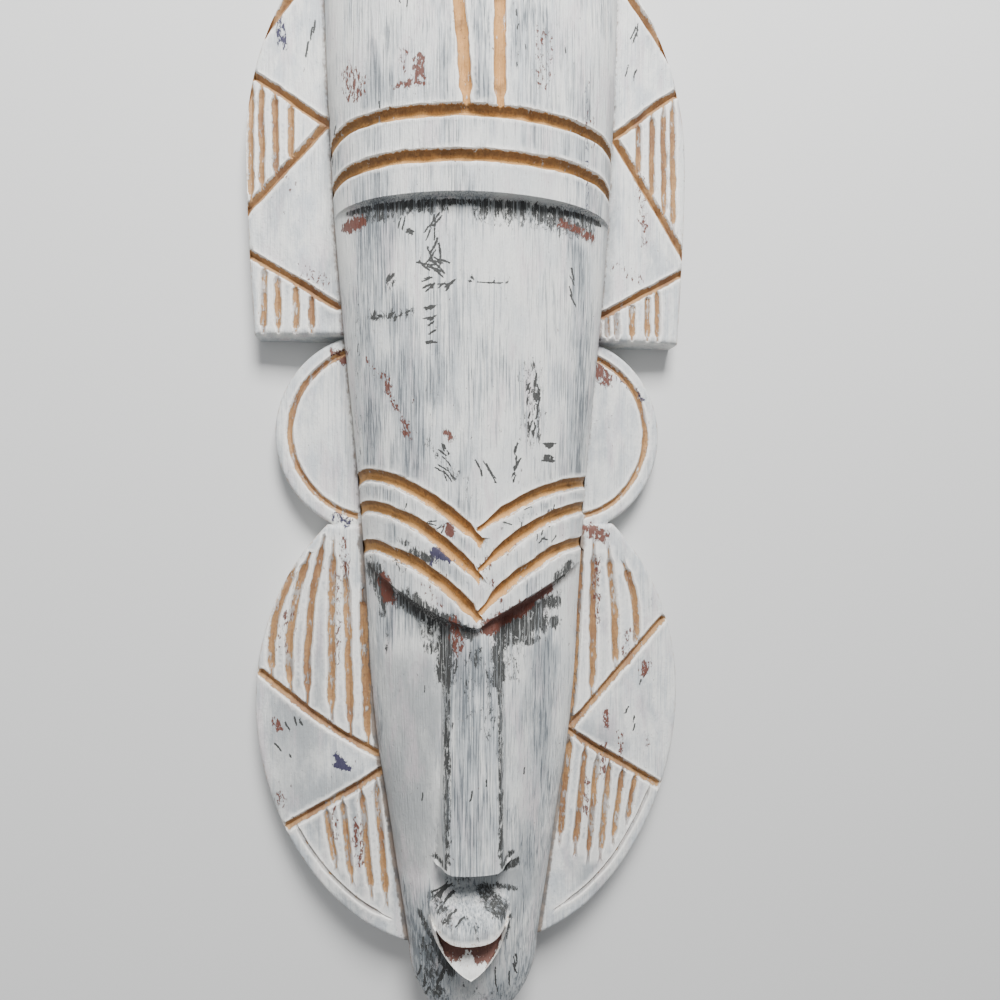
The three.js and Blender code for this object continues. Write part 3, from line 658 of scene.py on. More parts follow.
# Scratches. Each row scatters short strokes: centre, spread, count, length, angle in degrees,
# spread of the angle, width
SCRATCHES = [
    (-18, 82, 2.6, 8, 8, 8, 78, 34, 0.9), (-17, 71, 8, 3, 9, 7, -28, 20, 0.8),
    (-15, 66, 4, 3, 6, 4, 30, 50, 0.8), (-20, 54, 1.2, 14, 15, 3.2, 18, 14, 0.7),
    (-36, 53, 8, 1.6, 14, 2.0, 20, 70, 1.3), (-27, 86, 1.4, 1.0, 3, 2.2, 0, 60, 2.2),
    (-36, 67, 1.4, 2.4, 4, 2.6, 70, 30, 1.3), (4.5, 65, 0.3, 0.1, 1, 14, 1, 1, 0.4),
    (4, 65.5, 8, 1.2, 4, 1.2, 0, 80, 1.0), (29.5, -3.5, 0.3, 4.6, 6, 4.2, 0, 8, 1.9),
    (22.5, 16, 2.6, 12, 34, 3.0, 85, 18, 0.7), (15, -8, 1.4, 8, 9, 3.2, 65, 24, 0.8),
    (-13, -6, 3, 8, 9, 5, -50, 20, 0.6), (2, -14, 3, 9, 4, 6, -58, 12, 0.6),
    (-32, 90, 2, 1, 2, 5, 80, 8, 0.5), (40, 66, 1.2, 7, 4, 4.6, -65, 12, 0.8),
    (0, 150, 46, 30, 12, 2.4, 86, 10, 0.45), (0, -125, 30, 42, 10, 3.4, 84, 8, 0.5),
    (-72, 184, 2, 10, 4, 6, 80, 10, 0.8), (74, 184, 3, 14, 6, 6, 75, 14, 0.8),
    (-62, 130, 3, 12, 5, 5, 85, 8, 0.6), (-20, -228, 6, 12, 8, 7, 76, 10, 0.8),
    (12, -230, 6, 8, 6, 6, 100, 12, 0.6), (-80, -125, 8, 24, 5, 3, -40, 40, 1.0),
    (78, -112, 8, 20, 5, 3, 55, 30, 1.0), (-12, -192, 6, 4, 8, 6, 40, 14, 0.7),
    (-24, -28, 12, 7, 12, 3, 40, 60, 0.5), (22, -34, 12, 8, 12, 3, 40, 60, 0.5),
]


def scratches(seed):
    """Short, slightly bent strokes scattered at random in each row's patch."""
    rng = np.random.default_rng(seed + 100)
    strokes = []
    for cx, cy, sx, sy, count, length, angle, spread, width in SCRATCHES:
        for _ in range(count):
            a = math.radians(angle + rng.uniform(-1, 1) * spread)
            size = length * rng.uniform(0.6, 1.3)
            start = np.array([cx + rng.uniform(-1, 1) * sx, cy + rng.uniform(-1, 1) * sy])
            along = np.array([math.cos(a), math.sin(a)]) * size / 2
            bend = np.array([-along[1], along[0]]) * rng.uniform(-0.12, 0.12)
            t = np.linspace(-1, 1, 9)[:, None]
            line = resample(start + along * t + bend * (1 - t * t), 0.9)
            strokes.append((line, width * rng.uniform(0.7, 1.25)))
    return strokes


def scratch_field(strokes, x, y):
    """1 on a stroke's line and 0 beyond its half width, thinner towards both ends."""
    out = np.zeros(len(x))
    for line, width in strokes:
        idx = close_points(line, 2.0, x, y)
        if not len(idx):
            continue
        j, f, gap = nearest(line, np.column_stack([x[idx], y[idx]]))
        s = (j + f) / (len(line) - 1)
        half = width / 2 * (0.45 + 0.55 * np.sin(np.pi * np.clip(s, 0.02, 0.98)))
        out[idx] = np.maximum(out[idx], 1 - smooth((np.hypot(gap[:, 0], gap[:, 1]) - half * 0.6) / 0.3))
    return out


# Mesh


class Points:
    """Points of a flat triangulation with the lines it has to keep."""

    def __init__(self):
        self.parts = []
        self.edges = []
        self.count = 0

    def add(self, points, keep=False, closed=False):
        """Adds a row of points, and the lines between them where they have to be kept."""
        points = np.asarray(points, float)
        n = len(points)
        if keep:
            i = np.arange(n if closed else n - 1)
            self.edges.append(np.column_stack([self.count + i, self.count + (i + 1) % n]))
        self.parts.append(points)
        self.count += n

    def triangulate(self):
        """Constrained Delaunay triangulation of the points."""
        points = np.vstack(self.parts)
        edges = np.vstack(self.edges).tolist() if self.edges else []
        v, _, f, *_ = delaunay_2d_cdt([Vector(p) for p in points.tolist()], edges, [], 0, 1e-5, False)
        v = np.array([(p.x, p.y) for p in v])
        return v, np.array(f, dtype=np.int64)


def half_at(m, y):
    """Half width of the whole outline at each height."""
    crest = np.where(y >= m.crest_foot, crest_half(m, y), 0)
    ear = np.where((y < m.crest_foot) & (y >= m.notch), ear_half(m, y), 0)
    lobe = np.where(y < m.notch, lobe_half(m, y), 0)
    return np.maximum(np.maximum(crest, ear), np.maximum(lobe, column_half(m, y)))


def background(m, step, seed):
    """Staggered grid inside the outline, each point moved at random by a sixth of a step."""
    rng = np.random.default_rng(seed)
    y = np.arange(m.chin + step, m.crown - step / 2, step * 0.9)
    x = np.arange(-m.H, m.H, step)
    X, Y = np.meshgrid(x, y)
    X = X + (np.arange(len(y)) % 2 * step / 2)[:, None]
    X = X + rng.uniform(-1, 1, X.shape) * step / 6
    Y = Y + rng.uniform(-1, 1, Y.shape) * step / 6
    X, Y = X.ravel(), Y.ravel()
    keep = np.abs(X) < half_at(m, Y) - 0.8 * step
    return np.column_stack([X[keep], Y[keep]])


def far_from(points, line, gap):
    """Those points that are at least the gap away from every point of a line, tested row by row of the line."""
    line = resample(line, gap * 0.6)
    lo, hi = line.min(axis=0) - gap, line.max(axis=0) + gap
    near = np.nonzero(np.all((points > lo) & (points < hi), axis=1))[0]
    if len(near):
        d2 = ((points[near][:, None] - line[None]) ** 2).sum(axis=2).min(axis=1)
        keep = np.ones(len(points), bool)
        keep[near[d2 < gap * gap]] = False
        points = points[keep]
    return points


def feature_lines(m):
    """Lines where the form has a crease: column edges, band step, brow edge, nose, mouth and plate edges."""
    lines = []

    def add(x, y, keep=False):
        """Adds one line; x or y may be a single value."""
        lines.append((np.column_stack(np.broadcast_arrays(x, y)), keep))

    top = m.crown - 10
    corner = m.crest_foot + np.array([0.15, -0.05, -0.3])
    end = np.linspace(top, m.crown - 7.4, 8)[1:]
    up = np.sort(np.concatenate([np.arange(m.chin_start, top, 1.4), corner, end]))
    chin = m.chin_start + (m.chin - m.chin_start) * np.sin(np.linspace(0.03, 1.42, 34))
    for side in (LEFT, RIGHT):
        for inset in (-0.12, 0.0, 0.12, 0.5, 1.2, 2.4):
            add(side * (column_half(m, up) - inset - 0.03), up, inset < 0.2)
        for inset in (0.5, 1.2, 2.4):
            add(side * np.maximum(column_half(m, chin) - inset, 0.5), chin)

    x = (float(column_half(m, m.band_foot)) - 0.1) * np.sin(np.linspace(-1.52, 1.52, 96))
    for dy in (0.75, 0.3, 0.03, -0.4):
        add(x, m.band_foot + dy, dy in (0.03, -0.4))
    x = 0.462 * m.H * np.sin(np.linspace(-1.5, 1.5, 96))
    edge = brow_edge(m, x)
    ok = np.abs(x) < column_half(m, edge) - 0.3
    for dy in (0.9, 0.4, 0.0, -0.5, -1.4, -2.6, -4.2):
        add(x[ok], (edge + dy)[ok], dy == 0.0)

    y = np.linspace(m.nose_top - 9, m.nose_tip, 90)
    half = m.nose_half * (1 + 0.08 * (m.nose_top - y) / (m.nose_top - m.nose_tip))
    for side in (LEFT, RIGHT):
        for q in (0.8, 1.0, 1.1, 1.22):
            add(m.nose_axis + side * q * half, y, q in (0.8, 1.22))
    x = m.nose_axis + m.nose_half * np.linspace(-2, 2, 44)
    for dy in (1.0, 0.4, 0.0, -0.6, -1.4, -2.4):
        add(x, m.nose_tip + dy, dy == 0.0)

    x = m.mouth_axis + np.sin(np.linspace(-1.45, 1.45, 44)) * m.mouth_half
    edge = mouth_edges(m, x, np.zeros(44))[0]
    for dy in (1.2, 0.5, 0.02, -0.25):
        add(x, edge + dy, dy in (0.02, -0.25))
    low = m.lip_line - (m.lip_line - m.lip_low) * np.sin(np.linspace(0.02, 1.5, 24))
    _, outer, inner, _ = mouth_edges(m, np.zeros(24), low)
    high = np.linspace(m.lip_top + 1, m.lip_line, 14)
    wide = lip_width((m.lip_top - high) / (m.lip_top - m.lip_line)) * m.mouth_half
    for side in (LEFT, RIGHT):
        for half in (outer + 0.25, outer - 0.06, inner + 0.12, inner - 0.12):
            add(m.mouth_axis + side * np.maximum(half, 0.3), low, True)
    for side in (LEFT, RIGHT):
        for share in (1.0, 0.9, 0.75):
            add(m.mouth_axis + side * wide * share, high)

    crest_x = float(column_half(m, m.crest_foot))
    notch_x = float(column_half(m, m.notch)) + 0.3, float(ear_half(m, m.notch)) - 0.6
    for side in (LEFT, RIGHT):
        for dy in (m.bevel, 1.1, 0.45, 0.02):
            add(side * np.linspace(crest_x + 0.2, m.crest_foot_half - 0.3, 40), m.crest_foot + dy, dy == 0.02)
        add(side * np.linspace(crest_x + 0.3, m.ear_axis + 12, 8), m.crest_foot - 0.25)
        for dy in (0.1, -0.02, -0.5, -1.1, -m.bevel):
            add(side * np.linspace(*notch_x, 16), m.notch + dy, dy in (0.1, -0.02))
    return lines


def inside_runs(m, line, gap):
    """Unbroken stretches of a line that stay the given gap inside the outline."""
    mask = np.abs(line[:, 0]) < half_at(m, line[:, 1]) - gap
    ends = np.flatnonzero(np.diff(np.concatenate([[0], mask.astype(int), [0]])))
    return [line[a:b] for a, b in zip(ends[::2], ends[1::2]) if b - a > 1]


def rim_points(m, line, insets):
    """Rows of points inside the outline at the given distances, square to it."""
    rows = []
    for inset in insets:
        p = line + square_to(line) * inset
        rows.append(p[np.abs(p[:, 0]) < half_at(m, p[:, 1]) - 0.15])
    return rows


def front_points(m, shape, cuts, strokes, ring):
    """Flat points of the front: rows along the outline, the cuts, the creases and the strokes, and a grid."""
    step = shape.spacing / MM
    front = Points()
    front.add(ring, keep=True, closed=True)
    for row in rim_points(m, ring, (-0.35, -0.8, -1.4, -2.0)):
        front.add(row)
    grid = background(m, step, shape.seed)
    grid = far_from(grid, np.vstack([ring, ring[:1]]), 2.3)
    for c in cuts:
        keep_in = np.abs(c.line[:, 0]) < half_at(m, c.line[:, 1]) - 1.0
        if keep_in.sum() < 3:
            continue
        grid = far_from(grid, c.line[keep_in], max(c.left.max(), c.right.max()) + 0.55 * step)
        shares = (1.0, 0.82, 0.45, 0.0, -0.45, -0.82, -1.0) if c.rounded else (1.0, 0.5, 0.0, -0.5, -1.0)
        rows = [(share, 0.0, abs(share) in (0.0, 1.0)) for share in shares]
        for share, beyond, keep in rows + [(1.0, 0.5, False), (-1.0, 0.5, False)]:
            reach = (np.where(share >= 0, c.left, c.right)[:, None] + beyond) * share
            for row in inside_runs(m, (c.line + c.side * reach)[keep_in], 0.5):
                front.add(row, keep=keep)
    for line, keep in feature_lines(m):
        if len(line) < 2:
            continue
        grid = far_from(grid, line, 0.62)
        for row in inside_runs(m, line, 0.12):
            front.add(row, keep=keep)
    for line, width in strokes:
        line = line[np.abs(line[:, 0]) < half_at(m, line[:, 1]) - 3]
        if len(line) < 3:
            continue
        for k in (-width / 2 - 0.25, -width * 0.28, 0.0, width * 0.28, width / 2 + 0.25):
            front.add(line + square_to(line) * k)
    front.add(grid)
    return front


def front_surface(m, shape, cuts, strokes, ring):
    """Vertices and faces of the front, the side's height at the outline, and the paint fields.

    Cuts are taken off square to the surface, beside them the wood is raised a little, and the whole
    is wavy as if carved by hand.
    """
    flat, faces = front_points(m, shape, cuts, strokes, ring).triangulate()
    faces = keep_inside(m, ring, flat, faces)
    x, y = flat[:, 0], flat[:, 1]
    h = front_height(m, x, y)
    e = 0.35
    gx = (front_height(m, x + e, y) - front_height(m, x - e, y)) / (2 * e)
    steep = np.sqrt(1 + np.clip(gx, -0.9, 0.9) ** 2)
    column_gap = np.abs(x) - column_half(m, y)
    depth, bare, across, near = cut_fields(cuts, x, y, column_gap)
    waves = 0.65 * noise(x / 11, y / 31, 21) + 0.35 * noise(x / 5.5, y / 13, 22)
    inner = smooth((half_at(m, y) - np.abs(x)) / 4)
    z = h - depth * steep
    z = z + shape.unevenness / MM * waves * inner - shape.unevenness / MM * 0.7
    lip = np.exp(-((near - 0.25) ** 2) / 0.12) * (depth < 0.05)
    z = z + 0.22 * lip * inner
    z = np.clip(z, 6.0, m.depth - 0.01)
    top = np.maximum(h[: len(ring)], m.base - 9) - RIM_DROP
    z[: len(ring)] = top
    fields = paint_fields(m, x, y, h, depth, bare, across, near)
    fields["scratch"] = scratch_field(strokes, x, y) * (depth < 0.3)
    return np.column_stack([flat, z]), faces, top, fields


def back_surface(m, shape, ring):
    """Vertices and faces of the back: flat, with the faceted hollow and the hanging hole."""
    back = Points()
    back.add(ring, keep=True, closed=True)
    a = np.linspace(0, 2 * np.pi, 420, endpoint=False)
    y = m.hollow_middle + m.hollow_reach * 0.999 * np.sin(a)
    half = hollow_height(m, np.zeros(len(y)), y)[1]
    rows = []
    for share in (1.0, 0.995, 0.97, 0.92, 0.82):
        wide = np.sign(np.cos(a)) * half * share
        row = np.column_stack([wide, m.hollow_middle + (y - m.hollow_middle) * (0.55 + 0.45 * share)])
        rows.append(row)
        back.add(row, keep=share > 0.99, closed=True)
    for r in (HANGER_RADIUS, HANGER_RADIUS - 0.1):
        back.add(arc(0, m.hanger, r, r, 0, 350, 36), keep=True, closed=True)
    grid = background(m, 4.2, shape.seed + 1)
    grid = far_from(grid, np.vstack([rows[0], rows[0][:1]]), 2.5)
    grid = far_from(grid, arc(0, m.hanger, HANGER_RADIUS, HANGER_RADIUS, 0, 360, 40), 2.0)
    back.add(grid)
    flat, faces = back.triangulate()
    faces = keep_inside(m, ring, flat, faces)
    x, y = flat[:, 0], flat[:, 1]
    z, half = hollow_height(m, x, y)
    facet = np.abs(noise(x / 9, y / 16, 31)) * 1.6 * np.clip((half - np.abs(x)) / 6, 0, 1)
    z = np.where(z > 0.5, z - facet * (z > 3), z)
    z = np.where(np.hypot(x, y - m.hanger) < HANGER_RADIUS - 0.05, HANGER_DEPTH, z)
    z[: len(ring)] = 0.0
    return np.column_stack([flat, z]), faces[:, ::-1]


def side_rows(ring, top):
    """Rows of vertices down the side, each moved in or out a little by noise."""
    rows = []
    to_centre = -ring / np.maximum(np.hypot(ring[:, 0], ring[:, 1]), 1e-6)[:, None]
    for k in range(1, SIDE_LEVELS):
        chip = 0.25 * noise(ring[:, 0] / 6 + 9 * k, ring[:, 1] / 6, 41) - 0.25
        rows.append(np.column_stack([ring - to_centre * chip[:, None] * 0.8, top * (1 - k / SIDE_LEVELS)]))
    return rows


def mask_mesh(shape):
    """Whole mask as one closed mesh with its paint fields.

    The front and the back are flat triangulations lifted to their heights. They share the outline,
    and rows of quads between its upper and lower copies close the side.
    """
    m = sizes(shape)
    cuts = column_cuts(m, shape) + ear_cuts(m) + crest_cuts(m, shape) + lobe_cuts(m, shape)
    ring = np.vstack([outline(m, RIGHT), outline(m, LEFT)[-2:0:-1]])
    front, front_faces, top, fields = front_surface(m, shape, cuts, scratches(shape.seed), ring)
    back, back_faces = back_surface(m, shape, ring)
    verts = np.vstack([front, *side_rows(ring, top), back])
    n = len(ring)
    i = np.arange(n)
    j = (i + 1) % n
    starts = [0] + [len(front) + k * n for k in range(SIDE_LEVELS)]
    pairs = zip(starts[:-1], starts[1:])
    quads = np.vstack([np.column_stack([a + i, b + i, b + j, a + j]) for a, b in pairs])
    return verts * MM, front_faces, quads, back_faces + starts[-1], fields


# Paint


# Worn places and painted shade. Each row is a soft stroke: both ends, half width and strength
# Dark undercoat where the white is worn through. The rows along the band's foot, under the nose and down beside
# the lower lip also paint the shade in those recesses.
CHARCOAL_AND_SHADE = [
    (-54, 97.2, 54, 97.2, 1.2, 0.92), (-36, 95.8, -14, 95.4, 2.6, 0.74), (2, 95.4, 34, 95.0, 3.4, 0.76),
    (30, 92.5, 48, 92, 4.2, 0.66), (-48, 93, -32, 94.4, 2.6, 0.66), (-2, 92, 40, 90, 3.0, 0.5),
    (-36, 68, -36, 64, 2.6, 0.42), (-44, 53, -28, 53, 2.2, 0.5), (22, 30, 22, 4, 5, 0.42),
    (-20, 0, -8, -14, 2.6, 0.42), (-8, -14, -4, -22, 2.4, 0.36), (-43, -53, -38, -62, 4.0, 0.95),
    (-40, -64, -39.5, -71, 2.0, 0.8), (-38, -80, -38, -86, 1.2, 0.6), (-30, -64, -18, -72, 4.2, 1.0),
    (-18, -72, -4, -77, 3.0, 0.95), (-14, -72, -13.5, -96, 3.4, 0.92), (-21, -78, -20, -84, 3.0, 0.6),
    (11, -76, 24, -75, 4.6, 1.0), (22, -70, 33, -66, 3.6, 0.78), (22, -78, 33, -75, 3.0, 0.78),
    (16, -82, 24, -81, 3.0, 0.7), (34, -56, 40, -51, 2.2, 0.9), (8.5, -76, 8.5, -98, 3.0, 0.86),
    (14, -84, 16, -96, 3.6, 0.42), (-0.5, -84, -0.5, -90, 1.4, 0.7),
    (-12.8, -92, -12.8, -172, 1.3, 0.8), (9.2, -92, 9.4, -172, 1.3, 0.8), (-4, -90, -4, -112, 3, 0.36),
    (4, -90, 4, -120, 3, 0.44), (-18.6, -173.6, -13.4, -174, 1.2, 0.95),
    (10.4, -174.2, 16, -173.6, 1.2, 0.95), (5, -181.6, 17, -178.5, 2.0, 1.0),
    (-12, -184, -4, -184, 1.8, 0.5), (-18, -191, -13, -196, 2.6, 0.66),
    (-13, -193, -4, -197, 2.2, 0.36), (3, -189, 11, -196, 2.6, 0.84), (9, -188, 17, -190, 1.1, 0.8),
    (-16, -189, -2, -186, 1.0, 0.5), (-1, -196, -1, -201, 1.0, 0.7), (-24, -200, -17.5, -213, 1.3, 0.9),
    (-17.5, -213, -10, -226, 1.9, 1.0), (14.8, -202, 12, -212, 1.2, 0.8), (12, -212, 6, -221, 1.0, 0.6),
    (-23, -212, -16, -228, 1.6, 0.62), (-20, -226, -13, -246, 3.2, 0.62),
    (-24, -216, -20, -232, 1.2, 0.5), (-34, -46, -31, -50, 2.2, 0.56), (-27, -44, -20, -47, 1.8, 0.74),
    (-34, -39, -26, -42, 1.4, 0.56), (10, -34, 26, -27, 1.4, 0.36), (-47, -50, -44, -46, 1.6, 0.5),
    (-8, -228, 8, -240, 5, 0.3), (-50, -20, -50, 60, 1.4, 0.36),
]
RED = [
    (-53, 154, -51, 143, 3.4, 0.62), (-47, 150, -47, 144, 2.4, 0.5), (-24, 153, -24, 146, 2.0, 0.86),
    (-33, 143, -22, 143, 1.6, 0.66), (-30, 155, -28, 148, 3.0, 0.42), (26, 166, 26, 146, 3.4, 0.42),
    (48, 140, 48, 128, 3.0, 0.36), (-54, 92.5, -49, 92, 2.8, 0.98), (34, 92.5, 50, 90, 2.0, 0.8),
    (-46.5, 36, -38, 26, 1.0, 0.62), (-38, 28, -37, 22, 1.8, 0.6), (-38, 24, -30, 7, 1.0, 0.62),
    (-30, 9, -29, 3, 1.6, 0.8), (-13, 4, -12, 2, 2.0, 0.7), (-39, -56, -37, -64, 2.4, 0.9),
    (4, -75, 20, -67, 3.0, 1.15), (18, -68, 31, -60, 2.0, 1.05), (-10, -73, -8, -84, 2.6, 0.75),
    (-12.4, -34, -11.6, -36, 1.7, 1.1), (0, -52, 3, -48, 2.4, 0.5), (5, -56, 9, -64, 1.6, 0.5),
    (-22, -58, -14, -66, 1.8, 0.4), (4, -46, 12, -42, 3.0, 0.42), (-88, -121, -86, -124, 2.0, 0.7),
    (-86, -154, -85, -158, 2.0, 0.62), (82, -99, 80, -103, 2.0, 0.8), (61, -121, 62, -127, 1.6, 0.7),
    (83, -132, 82, -138, 1.4, 0.6), (-61, 42, -58, 41, 3.0, 0.8), (58, 38, 62, 33, 3.4, 0.8),
    (53, -37, 60, -40, 3.4, 0.8), (-58, -40, -56, -60, 2.2, 0.5), (57, -50, 56, -80, 2.0, 0.55),
    (-80, -70, -84, -90, 3, 0.42), (-60, -56, -60, -96, 1.6, 0.46), (-52, -164, -50, -184, 2.2, 0.56),
    (-62, -160, -61, -172, 1.8, 0.5), (60, -136, 60, -150, 1.6, 0.6), (68, -130, 69, -142, 1.2, 0.62),
    (52, -150, 51, -166, 1.6, 0.56), (72, -84, 70, -98, 1.8, 0.5), (-88, 128, -80, 116, 2.4, 0.4),
    (78, 128, 80, 96, 2.4, 0.46), (-66, 74, -74, 78, 3.0, 0.4), (66, 84, 78, 80, 3.0, 0.42),
]
PURPLE = [
    (-86, 190, -84, 178, 2.4, 0.62), (-18, -44, -12, -46.5, 1.7, 1.05), (-24, -46, -19, -48, 1.8, 0.7),
    (-61, -136, -56, -141.5, 1.2, 1.15), (-61, -140.5, -54.5, -142, 1.1, 1.15),
    (-12, 112, -4, 114, 1.2, 0.7), (31, -28, 34, -29, 1.6, 0.8), (-62, -30, -56, -33, 2.0, 0.62),
    (68, 36, 80, 24, 1.8, 0.6), (46, 150, 46, 100, 1.2, 0.42),
]
CALM = [
    (-31, -92, -27, -176, 8, 1.0), (6, 112, 30, 104, 8, 0.6), (10, 80, 14, 50, 10, 0.5),
]
# Grey over the white: worn grey paint, and painted shade in the hollow under the nose and over the cheeks, the
# chin and the lobes.
GREY_AND_SHADE = [
    (-14, -185, 16, -185, 4.2, 1.0), (-30, -96, -28, -170, 13, 0.85), (27, -90, 23, -190, 7, 0.6),
    (-2, -226, 2, -250, 16, 0.7), (-26, -190, -22, -220, 5, 0.5), (18, -196, 14, -226, 5, 0.5),
    (-76, -90, -80, -150, 15, 0.75), (-66, -56, -60, -112, 10, 0.6), (-60, -156, -48, -196, 14, 0.8),
    (60, -136, 54, -190, 12, 0.7), (60, -56, 62, -106, 9, 0.4), (84, -96, 80, -140, 6, 0.35),
    (-63, 160, -63, 60, 4.5, 0.6), (62, 160, 61, 60, 4.5, 0.75), (-60, 36, -60, -24, 7, 0.3),
    (58, 34, 60, -24, 7, 0.4), (-86, 140, -82, 60, 6, 0.35), (82, 120, 84, 60, 5, 0.35),
]
STREAKS = [
    (-32, 56, -28, -10, 6, 0.62), (36, 30, 40, -16, 4, 0.8), (-45, 60, -44, 0, 3, 0.4),
    (-44, 90, -40, -20, 6, 0.6), (-20, 60, -18, 20, 4, 0.4), (44, 80, 42, -10, 5, 0.9),
    (0, 90, 0, 40, 16, 0.2), (-1, -90, -1, -170, 8, 0.7), (-40, 200, -44, 130, 8, 0.5),
    (0, 220, 0, 130, 4, 0.6), (20, 215, 28, 140, 8, 0.3), (0, 116, 0, 104, 40, 0.3),
    (-26, -90, -24, -180, 6, 0.2), (28, -90, 26, -180, 6, 0.5), (-20, -196, -16, -246, 7, 0.9),
    (14, -196, 12, -246, 7, 0.7), (-4, -190, -4, -200, 12, 0.6),
]


def spots(rows, x, y):
    """Strongest of the rows at each point: full on the stroke and falling to 0 at twice its half width."""
    out = np.zeros(len(x))
    p = np.column_stack([x, y])
    for x0, y0, x1, y1, half, strength in rows:
        a = np.array([x0, y0], float)
        ab = np.array([x1 - x0, y1 - y0], float)
        t = np.clip(((p - a) * ab).sum(axis=1) / max((ab**2).sum(), 1e-6), 0, 1)
        d = np.hypot(*(p - a - t[:, None] * ab).T)
        out = np.maximum(out, strength * (1 - smooth((d / half - 0.35) / 1.65)))
    return out


def paint_fields(m, x, y, h, depth, bare, across, near):
    """Where each coat shows, from 0 to about 1.

    bare: inside the cuts. deep: inside the cuts, painted shade towards their bottom. upper, lower: the two
    walls of a cut, the upper in painted shade with some stain, the lower in painted light. dark, red, purple,
    grey: soft spots, dark on the column alone; dark is also painted shade at the band's foot, under the nose
    and beside the lower lip, and grey is worn grey
    paint and painted shade. crease: dirt and painted shade on the plates beside the column. stain: stains,
    dust, painted shade under the brow, and darkening near the column's lower edge. edge: the lips of the cuts
    and of the mouth, white paint
    with a painted highlight. rim: along the outline.
    """
    column_gap = np.abs(x) - column_half(m, y)
    inside = smooth((depth - 0.42 * (column_gap > 0.5)) / 0.5)
    off_step = (y < m.band_foot - 0.3) | (y > m.band_foot + 8)
    low = smooth((-30 - y) / 12)
    # Dirt and painted shade in the crease where the plates meet the column, stronger towards the bottom
    crease = np.exp(-((np.clip(column_gap - 0.6, 0, None) / 1.5) ** 2)) * (column_gap > -0.7)
    rim_gap = half_at(m, y) - np.abs(x)
    under = brow_edge(m, x) - y
    shade = np.exp(-(((under - 2.6) / 3.0) ** 2)) * (np.abs(x) < 0.44 * m.H)
    # Darker and streakier near the column's edge on its lower part
    side = smooth((column_gap + 7) / 6) * (column_gap < 0) * smooth((-96 - y) / 20)
    ridges = smooth((-under) / 6) * smooth((60 + under) / 14) * (column_gap < 0)
    edge, outer, inner, s = mouth_edges(m, x, y)
    # Stains near the plate cuts, dust on the brow ridges, painted shade under the brow, and darkening near the
    # column's lower edge
    stain_and_shade = 0.8 * np.exp(-np.clip(near, 0, None) / 1.4) * (column_gap > 0)
    stain_and_shade = stain_and_shade + 0.75 * shade + 0.5 * side + 0.36 * ridges
    X = x - m.mouth_axis
    in_mouth = (y < edge) & (np.abs(X) < inner - 0.1)
    floor = 0.56 + 5 * (0.68 - 0.12 * np.exp(-(((X + 1) / 2.4) ** 2)) + 0.06 * (X > 1.5) - s)
    lip = in_mouth | ((y < edge + 2.4) & (y > m.lip_low - 0.5) & (np.abs(X) < outer + 0.3))
    return {
        "bare": inside * bare,
        # Upper wall of a cut: painted shade with some stain. Lower wall: painted light.
        "upper": inside * smooth((across + 0.25) / 0.9),
        "lower": inside * smooth((-across - 0.35) / 0.5),
        "dark": spots(CHARCOAL_AND_SHADE, x, y) * (column_gap < 0.4) * ~lip * off_step,
        # Painted shade towards the bottom of a cut
        "deep": smooth(depth / 1.7),
        "crease": np.clip(crease * (0.62 + 0.38 * low), 0, 1),
        "stain_and_shade": np.clip(stain_and_shade, 0, 1),
        "streaks": np.clip(spots(STREAKS, x, y) + 0.6 * side, 0, 1) - spots(CALM, x, y),
        "red": np.where(in_mouth, np.clip(floor, 0, 1.2), spots(RED, x, y)),
        "purple": spots(PURPLE, x, y),
        # Grey paint and painted shade
        "grey": spots(GREY_AND_SHADE, x, y) * ~lip,
        "edge": np.clip(np.exp(-(near**2) / 0.55) * (near > -0.3) + lip - 0.16 * in_mouth, 0, 1),
        "rim": np.exp(-((rim_gap / 2.2) ** 2)),
        "column": smooth((h - 21) / 6),
    }


# Materials


